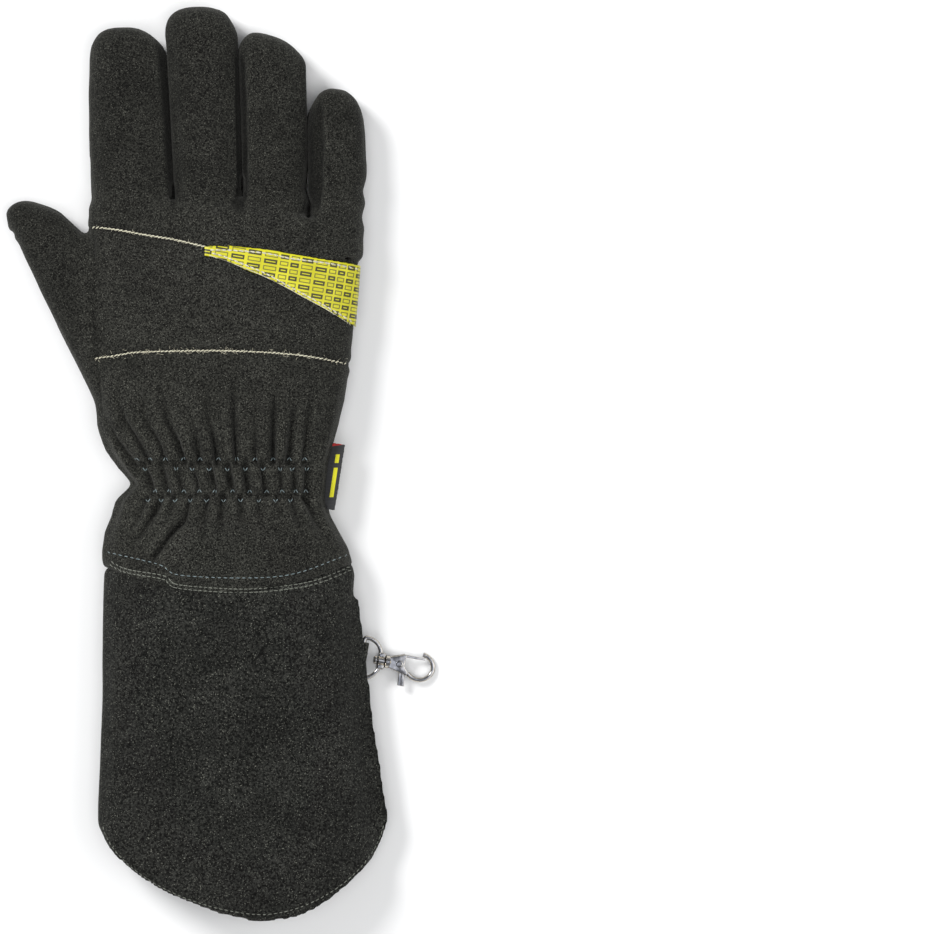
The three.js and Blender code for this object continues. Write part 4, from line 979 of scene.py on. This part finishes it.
def sew(form, tree, line, pitch, length, width, lean=0.0, lift=0.1, above=True, shift=0.0):
    """A run of stitches along a line, shift to its left, each turned by lean."""
    line = curve_through(line, pitch)
    for a, b in zip(line, line[1:]):
        heading = math.atan2(b[1] - a[1], b[0] - a[0])
        middle = (a + b) / 2
        stitch(
            form, tree, middle[0] - math.sin(heading) * shift, middle[1] + math.cos(heading) * shift,
            heading + lean + random.uniform(-0.06, 0.06), length * random.uniform(0.85, 1.1),
            width, lift, above,
        )


def fuzz(form, tree, line, count, reach, longest, above=True):
    """Loose fibres that lie about a line."""
    line = curve_through(line)
    for _ in range(count):
        x, y = line[random.randrange(len(line))][:2]
        stitch(
            form, tree, x + random.gauss(0, reach), y + random.gauss(0, reach),
            random.uniform(0, math.pi), random.uniform(0.8, longest), 0.14, 0.15, above, 4,
        )


cream = bmesh.new()
sew(cream, back_tree, KNUCKLE_SEAM, 1.9, 2.5, 0.72, lean=0.32)
sew(cream, back_tree, WRIST_SEAM, 1.9, 2.3, 0.62, lean=0.32)
fuzz(cream, back_tree, WRIST_SEAM, 150, 0.9, 2.6)
fuzz(cream, back_tree, KNUCKLE_SEAM, 40, 0.6, 1.8)
WEDGE_TOP = [(-6.5, 81.5), (5, 81.3), (20, 80.0), (30, 77.9), (35, 77.1), (50, 75.3), (64.5, 72.8)]
WEDGE_BOTTOM = [
    (-5.5, 80.0), (0, 78.6), (10, 74.6), (20, 70.4), (30, 65.0), (40, 59.6), (50, 54.1), (61.5, 47.6),
]
WEDGE_CUT = [
    (-6.5, 78.9), (0, 76.9), (10, 73.0), (20, 68.8), (30, 63.8), (40, 58.3), (50, 52.9), (60.5, 46.3),
]
for line in (WEDGE_TOP, WEDGE_BOTTOM):
    sew(cream, wedge_tree, line, 2.8, 2.7, 0.85, lean=-0.08)
lap = bmesh.new()
for piece in ("hand_back", "reflective_wedge"):
    lap.from_mesh(bpy.data.objects[piece].data)
sew(cream, BVHTree.FromBMesh(lap), WEDGE_CUT, 1.4, 2.0, 0.42, lift=0.15)
lap.free()
cream_thread = thread("cream_thread", (0.68, 0.65, 0.50, 1), (0.44, 0.41, 0.30, 1))
finished("cream_stitches", cream, cream_thread, "root", "back_suede")

# Elastic rows: the x of each point of the zigzag, which shows only where it rises over a fold, and
# the row's y.
ZIGZAG_UP = (
    ((-41.5, -35.1, -27.6, -19.2, -11.1, -2.3, 6.5, 15.1, 23.5, 31.4, 38.6), -17.2),
    ((-32.7, -25.9, -18.8, -11.5, -4.0, 4.4, 12.5, 20.6, 27.9, 34.4, 39.1), -32.6),
)
ZIGZAG_DOWN = (
    ((-37.6, -22.6, -14.9, -6.8, 1.8, 10.4, 18.9, 27.0, 32.6, 39.5), -23.6),
    ((-36.0, -29.9, -23.1, -15.8, -8.1, 0.0, 8.2, 16.8, 24.9, 31.8), -38.6),
)
# The two stitches of a point stand this far from its middle, and this far along the row's side.
ZIGZAG_HALF, ZIGZAG_DROP = 0.62, 0.75
blue = bmesh.new()
for rows, way in ((ZIGZAG_UP, -1), (ZIGZAG_DOWN, 1)):
    for places_x, y in rows:
        for x in places_x:
            for side in (-1, 1):
                stitch(
                    blue, back_tree, x + side * ZIGZAG_HALF, y + way * ZIGZAG_DROP + random.uniform(-0.2, 0.2),
                    math.atan2(way * 1.5, side * 1.1), 1.9, 0.42, 0.1,
                )
for tree, above in ((back_tree, True), (palm_tree, False)):
    sew(blue, tree, HEM_STITCHES, 2.9, 2.0, 0.42, above=above)
blue_thread = thread("blue_thread", (0.23, 0.29, 0.30, 1), (0.12, 0.16, 0.17, 1))
finished("blue_stitches", blue, blue_thread, "root", "back_suede")

grey = bmesh.new()
HEM_EDGE = [
    (-54.9, -68.4), (-46.4, -72.2), (-28.6, -75.2), (-24.3, -78.8), (-13.2, -80.4),
    (8.9, -81.6), (27.6, -80.4), (44.6, -77.4), (61.0, -71.0),
]
hem = bmesh.new()
for piece in ("hand_back", "hand_palm", "cuff_upper", "cuff_lower"):
    hem.from_mesh(bpy.data.objects[piece].data)
hem_tree = BVHTree.FromBMesh(hem)
hem.free()
for above in (True, False):
    sew(grey, hem_tree, HEM_EDGE, 2.4, 2.1, 0.5, above=above)
    sew(grey, hem_tree, HEM_EDGE, 2.4, 2.1, 0.5, above=above, shift=1.7)
    fuzz(grey, hem_tree, HEM_EDGE, 110, 1.2, 2.4, above)
# The cuff's end is a rounded tongue, and its stitches run a little inside the edge.
CUFF_CORNER, TONGUE_X, TONGUE, TONGUE_POWER = -191.0, 19.2, 47.0, 1.72
CUFF_SIDES_X = (-62.1, 79.0)
INSET_X, INSET_Y = 0.955, 0.935
tongue = []
for turn in np.linspace(0.08, math.pi - 0.08, 40):
    half = INSET_X * (CUFF_SIDES_X[int(turn >= math.pi / 2)] - TONGUE_X)
    tongue.append((
        TONGUE_X + half * abs(math.cos(turn)) ** (2 / TONGUE_POWER),
        CUFF_CORNER - INSET_Y * TONGUE * math.sin(turn) ** (2 / TONGUE_POWER),
    ))
for tree, above in ((upper_tree, True), (lower_tree, False)):
    sew(grey, tree, tongue, 2.6, 1.8, 0.42, above=above)
for name, rows in SEWN_DOWN.items():
    for row in rows:
        sew(grey, trims[name], row, 2.5, 1.9, 0.44, above=False)
sew(grey, palm_tree, [(-3.8, -87.5), (-3.8, -78.0), (-3.6, -66.0)], 1.8, 1.2, 0.7, above=False)
grey_thread = thread("grey_thread", (0.19, 0.20, 0.165, 1), (0.10, 0.105, 0.085, 1))
finished("grey_stitches", grey, grey_thread, "root", "cuff_suede")

# The D-ring and the swivel clasp, in bright nickel plate.
# The ring hangs in a leather loop on the cuff's edge. The clasp's post turns in the
# ring's boss, and a riveted lever closes its hook.

nickel = Paint("nickel", {"Metallic": 1.0})
# The plate's colour is painted reflection: it follows which way each face points on the resting piece, dark
# where it points down or sideways, bright where it tilts up and dark again where it points straight up, and it
# stays on the piece when the piece turns.
upward = nickel.node(
    "ShaderNodeSeparateXYZ", {}, {"Vector": nickel.node("ShaderNodeTexCoord", out="Normal")}, out="Z"
)
painted_reflection = nickel.node(
    "ShaderNodeValToRGB",
    {"stops": [
        (0.0, (0.05, 0.05, 0.055, 1)), (0.30, (0.07, 0.065, 0.06, 1)),
        (0.50, (0.62, 0.56, 0.46, 1)), (0.84, (0.80, 0.76, 0.70, 1)),
        (0.93, (0.22, 0.22, 0.23, 1)), (1.0, (0.075, 0.08, 0.095, 1)),
    ]},
    {"Fac": upward + 0.10 * (nickel.cloud(3.5, 3) - 0.5)},
)
nickel.feed("Base Color", nickel.scaled(painted_reflection, nickel.between(nickel.cloud(2.2, 3), *SPAN, 0.75, 1.25)))
nickel.feed("Roughness", nickel.between(nickel.cloud(1.6, 4), *SPAN, 0.12, 0.26))
nickel.feed("Normal", nickel.bump(nickel.cloud(1.2, 2), 0.06, 0.1))

joints = {joint["name"]: joint for joint in frame["joints"]}
out_way = Vector(joints["swivel"]["axis"]).normalized()
ring_way = Vector(joints["ring_flip"]["axis"]).normalized()
ring_bar = Vector(joints["ring_flip"]["pos_m"])
clasp_axes = Matrix((out_way, ring_way, out_way.cross(ring_way))).transposed().to_4x4()
CLASP_PLACE = Matrix.Translation(ring_bar) @ clasp_axes


def wire(points, radius, closed):
    """A round wire bent along the points."""
    curve = bpy.data.curves.new("wire", "CURVE")
    curve.dimensions, curve.bevel_depth, curve.bevel_resolution = "3D", radius * MM, 5
    curve.use_fill_caps = not closed
    spline = curve.splines.new("POLY")
    spline.points.add(len(points) - 1)
    for point, (x, y) in zip(spline.points, points):
        point.co = (x * MM, y * MM, 0, 1)
    spline.use_cyclic_u = closed
    holder = bpy.data.objects.new("wire", curve)
    form = bmesh.new()
    form.from_mesh(holder.to_mesh())
    bpy.data.objects.remove(holder)
    bmesh.ops.remove_doubles(form, verts=form.verts, dist=MERGE)
    bmesh.ops.recalc_face_normals(form, faces=form.faces)
    return form


def turned_part(profile, axis="X", middle=(0, 0)):
    """A part turned from bar stock, from pairs of length along the axis and radius."""
    form = bmesh.new()
    line = [form.verts.new((x * MM, r * MM, 0)) for x, r in profile]
    edges = [form.edges.new(pair) for pair in zip(line, line[1:])]
    bmesh.ops.spin(
        form, geom=line + edges, cent=(0, 0, 0), axis=(1, 0, 0), angle=2 * math.pi, steps=40,
        use_merge=True,
    )
    bmesh.ops.remove_doubles(form, verts=form.verts, dist=MERGE)
    bmesh.ops.recalc_face_normals(form, faces=form.faces)
    if axis == "Z":
        upright = Matrix.Rotation(-math.pi / 2, 3, "Y")
        bmesh.ops.rotate(form, verts=form.verts, cent=(0, 0, 0), matrix=upright)
    bmesh.ops.translate(form, verts=form.verts, vec=(middle[0] * MM, middle[1] * MM, 0))
    return form


def plate(outline, low, high, edge):
    """A flat plate between two heights, with its edges rounded."""
    form = bmesh.new()
    face = form.faces.new([form.verts.new((x * MM, y * MM, low * MM)) for x, y in outline])
    grown = bmesh.ops.extrude_face_region(form, geom=[face])
    rising = [v for v in grown["geom"] if isinstance(v, bmesh.types.BMVert)]
    bmesh.ops.translate(form, verts=rising, vec=(0, 0, (high - low) * MM))
    bmesh.ops.recalc_face_normals(form, faces=form.faces)
    bmesh.ops.bevel(
        form, geom=form.edges[:], offset=edge * MM, offset_type="OFFSET", segments=3, profile=0.5,
        affect="EDGES", clamp_overlap=True, material=-1,
    )
    return form


def gathered(*forms):
    """Several forms in one mesh, moved from the clasp's own place into the glove's."""
    whole = bmesh.new()
    for form in forms:
        mesh = bpy.data.meshes.new("part")
        form.to_mesh(mesh)
        form.free()
        whole.from_mesh(mesh)
        bpy.data.meshes.remove(mesh)
    whole.transform(CLASP_PLACE)
    return whole


RING_DEPTH, RING_HALF, RING_WIRE = 9.8, 10.0, 1.0
bend = [
    (RING_DEPTH * math.cos(a) ** 0.87, RING_HALF * math.copysign(abs(math.sin(a)) ** 0.87, a))
    for a in np.linspace(-math.pi / 2 + 0.001, math.pi / 2 - 0.001, 60)
]
bar = [(0, y) for y in np.linspace(RING_HALF, -RING_HALF, 24)[1:-1]]
path = np.array(bend + bar)
for _ in range(5):
    path = (np.roll(path, 1, axis=0) + 2 * path + np.roll(path, -1, axis=0)) / 4
BOSS = [(8.2, 1.35), (8.2, 2.1), (8.45, 2.35), (11.15, 2.35), (11.4, 2.1), (11.4, 1.35), (8.2, 1.35)]
BOSS_ENDS = [
    plate([(8.2, low), (11.4, low), (11.4, high), (8.2, high)], -2.3, 2.3, 0.5)
    for low, high in ((1.6, 4.0), (-4.0, -1.6))
]
ring_form = gathered(wire(path, RING_WIRE, True), turned_part(BOSS), *BOSS_ENDS)
finished("ring_wire", ring_form, nickel.material, "ring", "nickel", "d_ring", sharp=35)

RIVET_X = 18.72
POST = [
    (6.3, 0), (6.3, 1.5), (6.7, 2.0), (7.5, 2.0), (7.9, 1.6), (7.9, 1.1), (11.7, 1.1), (11.7, 2.7),
    (12.0, 3.1), (13.6, 3.1), (14.0, 2.7), (14.3, 2.5), (14.6, 2.4), (14.6, 0),
]
HOUSING = [
    (13.6, -2.5), (22.9, -5.2), (23.8, -3.7), (21.6, -1.2),
    (21.2, 0.4), (21.9, 4.4), (21.5, 5.1), (13.6, 2.5),
]
HOOK_MIDDLE, HOOK_LONG, HOOK_WIDE, HOOK_WIRE = 29.2, 6.7, 6.2, 1.1
hook = [
    (HOOK_MIDDLE + HOOK_LONG * math.cos(a), HOOK_WIDE * math.sin(a))
    for a in np.linspace(-0.79 * math.pi, math.radians(82), 72)
]
body_form = gathered(
    turned_part(POST),
    plate(HOUSING, 1.25, 2.4, 0.4),
    plate(HOUSING, -2.4, -1.25, 0.4),
    plate([(13.6, -2.4), (15.4, -2.9), (15.4, 2.9), (13.6, 2.4)], -1.4, 1.4, 0.1),
    wire(hook, HOOK_WIRE, False),
)
finished("clasp_housing", body_form, nickel.material, "clasp", "nickel", "clasp_body", sharp=35)

LEVER = [
    (16.3, 0.0), (17.0, -1.8), (19.6, -2.4), (20.0, -10.4), (23.2, -10.4), (22.1, -2.2), (21.1, 1.0),
    (21.9, 3.5), (31.2, 3.5), (31.2, 4.5), (22.5, 4.8), (20.9, 4.4), (17.0, 1.9),
]
lever_form = gathered(plate(LEVER, -0.9, 0.9, 0.22))
finished("lever", lever_form, nickel.material, "lever", "nickel", "clasp_lever", sharp=35)

RIVET = [
    (-3.3, 0), (-3.3, 1.3), (-3.0, 1.75), (-2.7, 1.8), (-2.7, 0.9), (2.7, 0.9),
    (2.7, 1.8), (3.0, 1.75), (3.3, 1.3), (3.3, 0.9), (3.0, 0.75), (3.0, 0),
]
rivet_form = gathered(turned_part(RIVET, "Z", (RIVET_X, 0)))
finished("rivet", rivet_form, nickel.material, "clasp", "nickel", "lever_rivet", sharp=35)

# The studio: a plain pale floor, soft light from above and the upper left, and a
# camera straight above, with the glove in the left half of its view.

floor_paint = Paint("floor", {"Roughness": 0.9, "Specular IOR Level": 0.1})
floor_paint.feed(
    "Base Color",
    floor_paint.mixed(floor_paint.cloud(60, 2), (0.86, 0.86, 0.86, 1), (0.88, 0.88, 0.88, 1)),
)
FLOOR_HALF, FLOOR_LEVEL = 4, -0.0002
floor_form = bmesh.new()
bmesh.ops.create_grid(floor_form, x_segments=4, y_segments=4, size=FLOOR_HALF)
floor_mesh = bpy.data.meshes.new("floor")
floor_form.to_mesh(floor_mesh)
floor_form.free()
floor_mesh.materials.append(floor_paint.material)
floor = bpy.data.objects.new("floor", floor_mesh)
floor.location = (0, 0, FLOOR_LEVEL)
bpy.context.scene.collection.objects.link(floor)

# Each lamp's place, its width and its power in watts. All of them face the glove.
LIGHTS = (
    ("key", (-1.0, 0.9, 1.3), 0.7, 27),
    ("fill", (1.3, -0.2, 1.3), 1.4, 12),
    ("overhead", (0.1, -0.4, 2.2), 1.6, 22),
)
for name, place, size, power in LIGHTS:
    light = bpy.data.lights.new(name, "AREA")
    light.shape, light.size, light.energy = "DISK", size, power
    lamp = bpy.data.objects.new(name, light)
    lamp.location = place
    lamp.rotation_euler = (-Vector(place)).to_track_quat("-Z", "Y").to_euler()
    bpy.context.scene.collection.objects.link(lamp)

world = bpy.data.worlds.new("studio")
world.use_nodes = True
world.node_tree.nodes["Background"].inputs["Color"].default_value = (0.9, 0.92, 0.95, 1)
world.node_tree.nodes["Background"].inputs["Strength"].default_value = 0.28
bpy.context.scene.world = world
bpy.context.scene.view_settings.view_transform = "Standard"

camera_data = bpy.data.cameras.new("camera")
camera_data.lens, camera_data.sensor_width = 200, 36
camera = bpy.data.objects.new("camera", camera_data)
camera.location = (0.1159, -0.0218, 2.504)
bpy.context.scene.collection.objects.link(camera)
bpy.context.scene.camera = camera
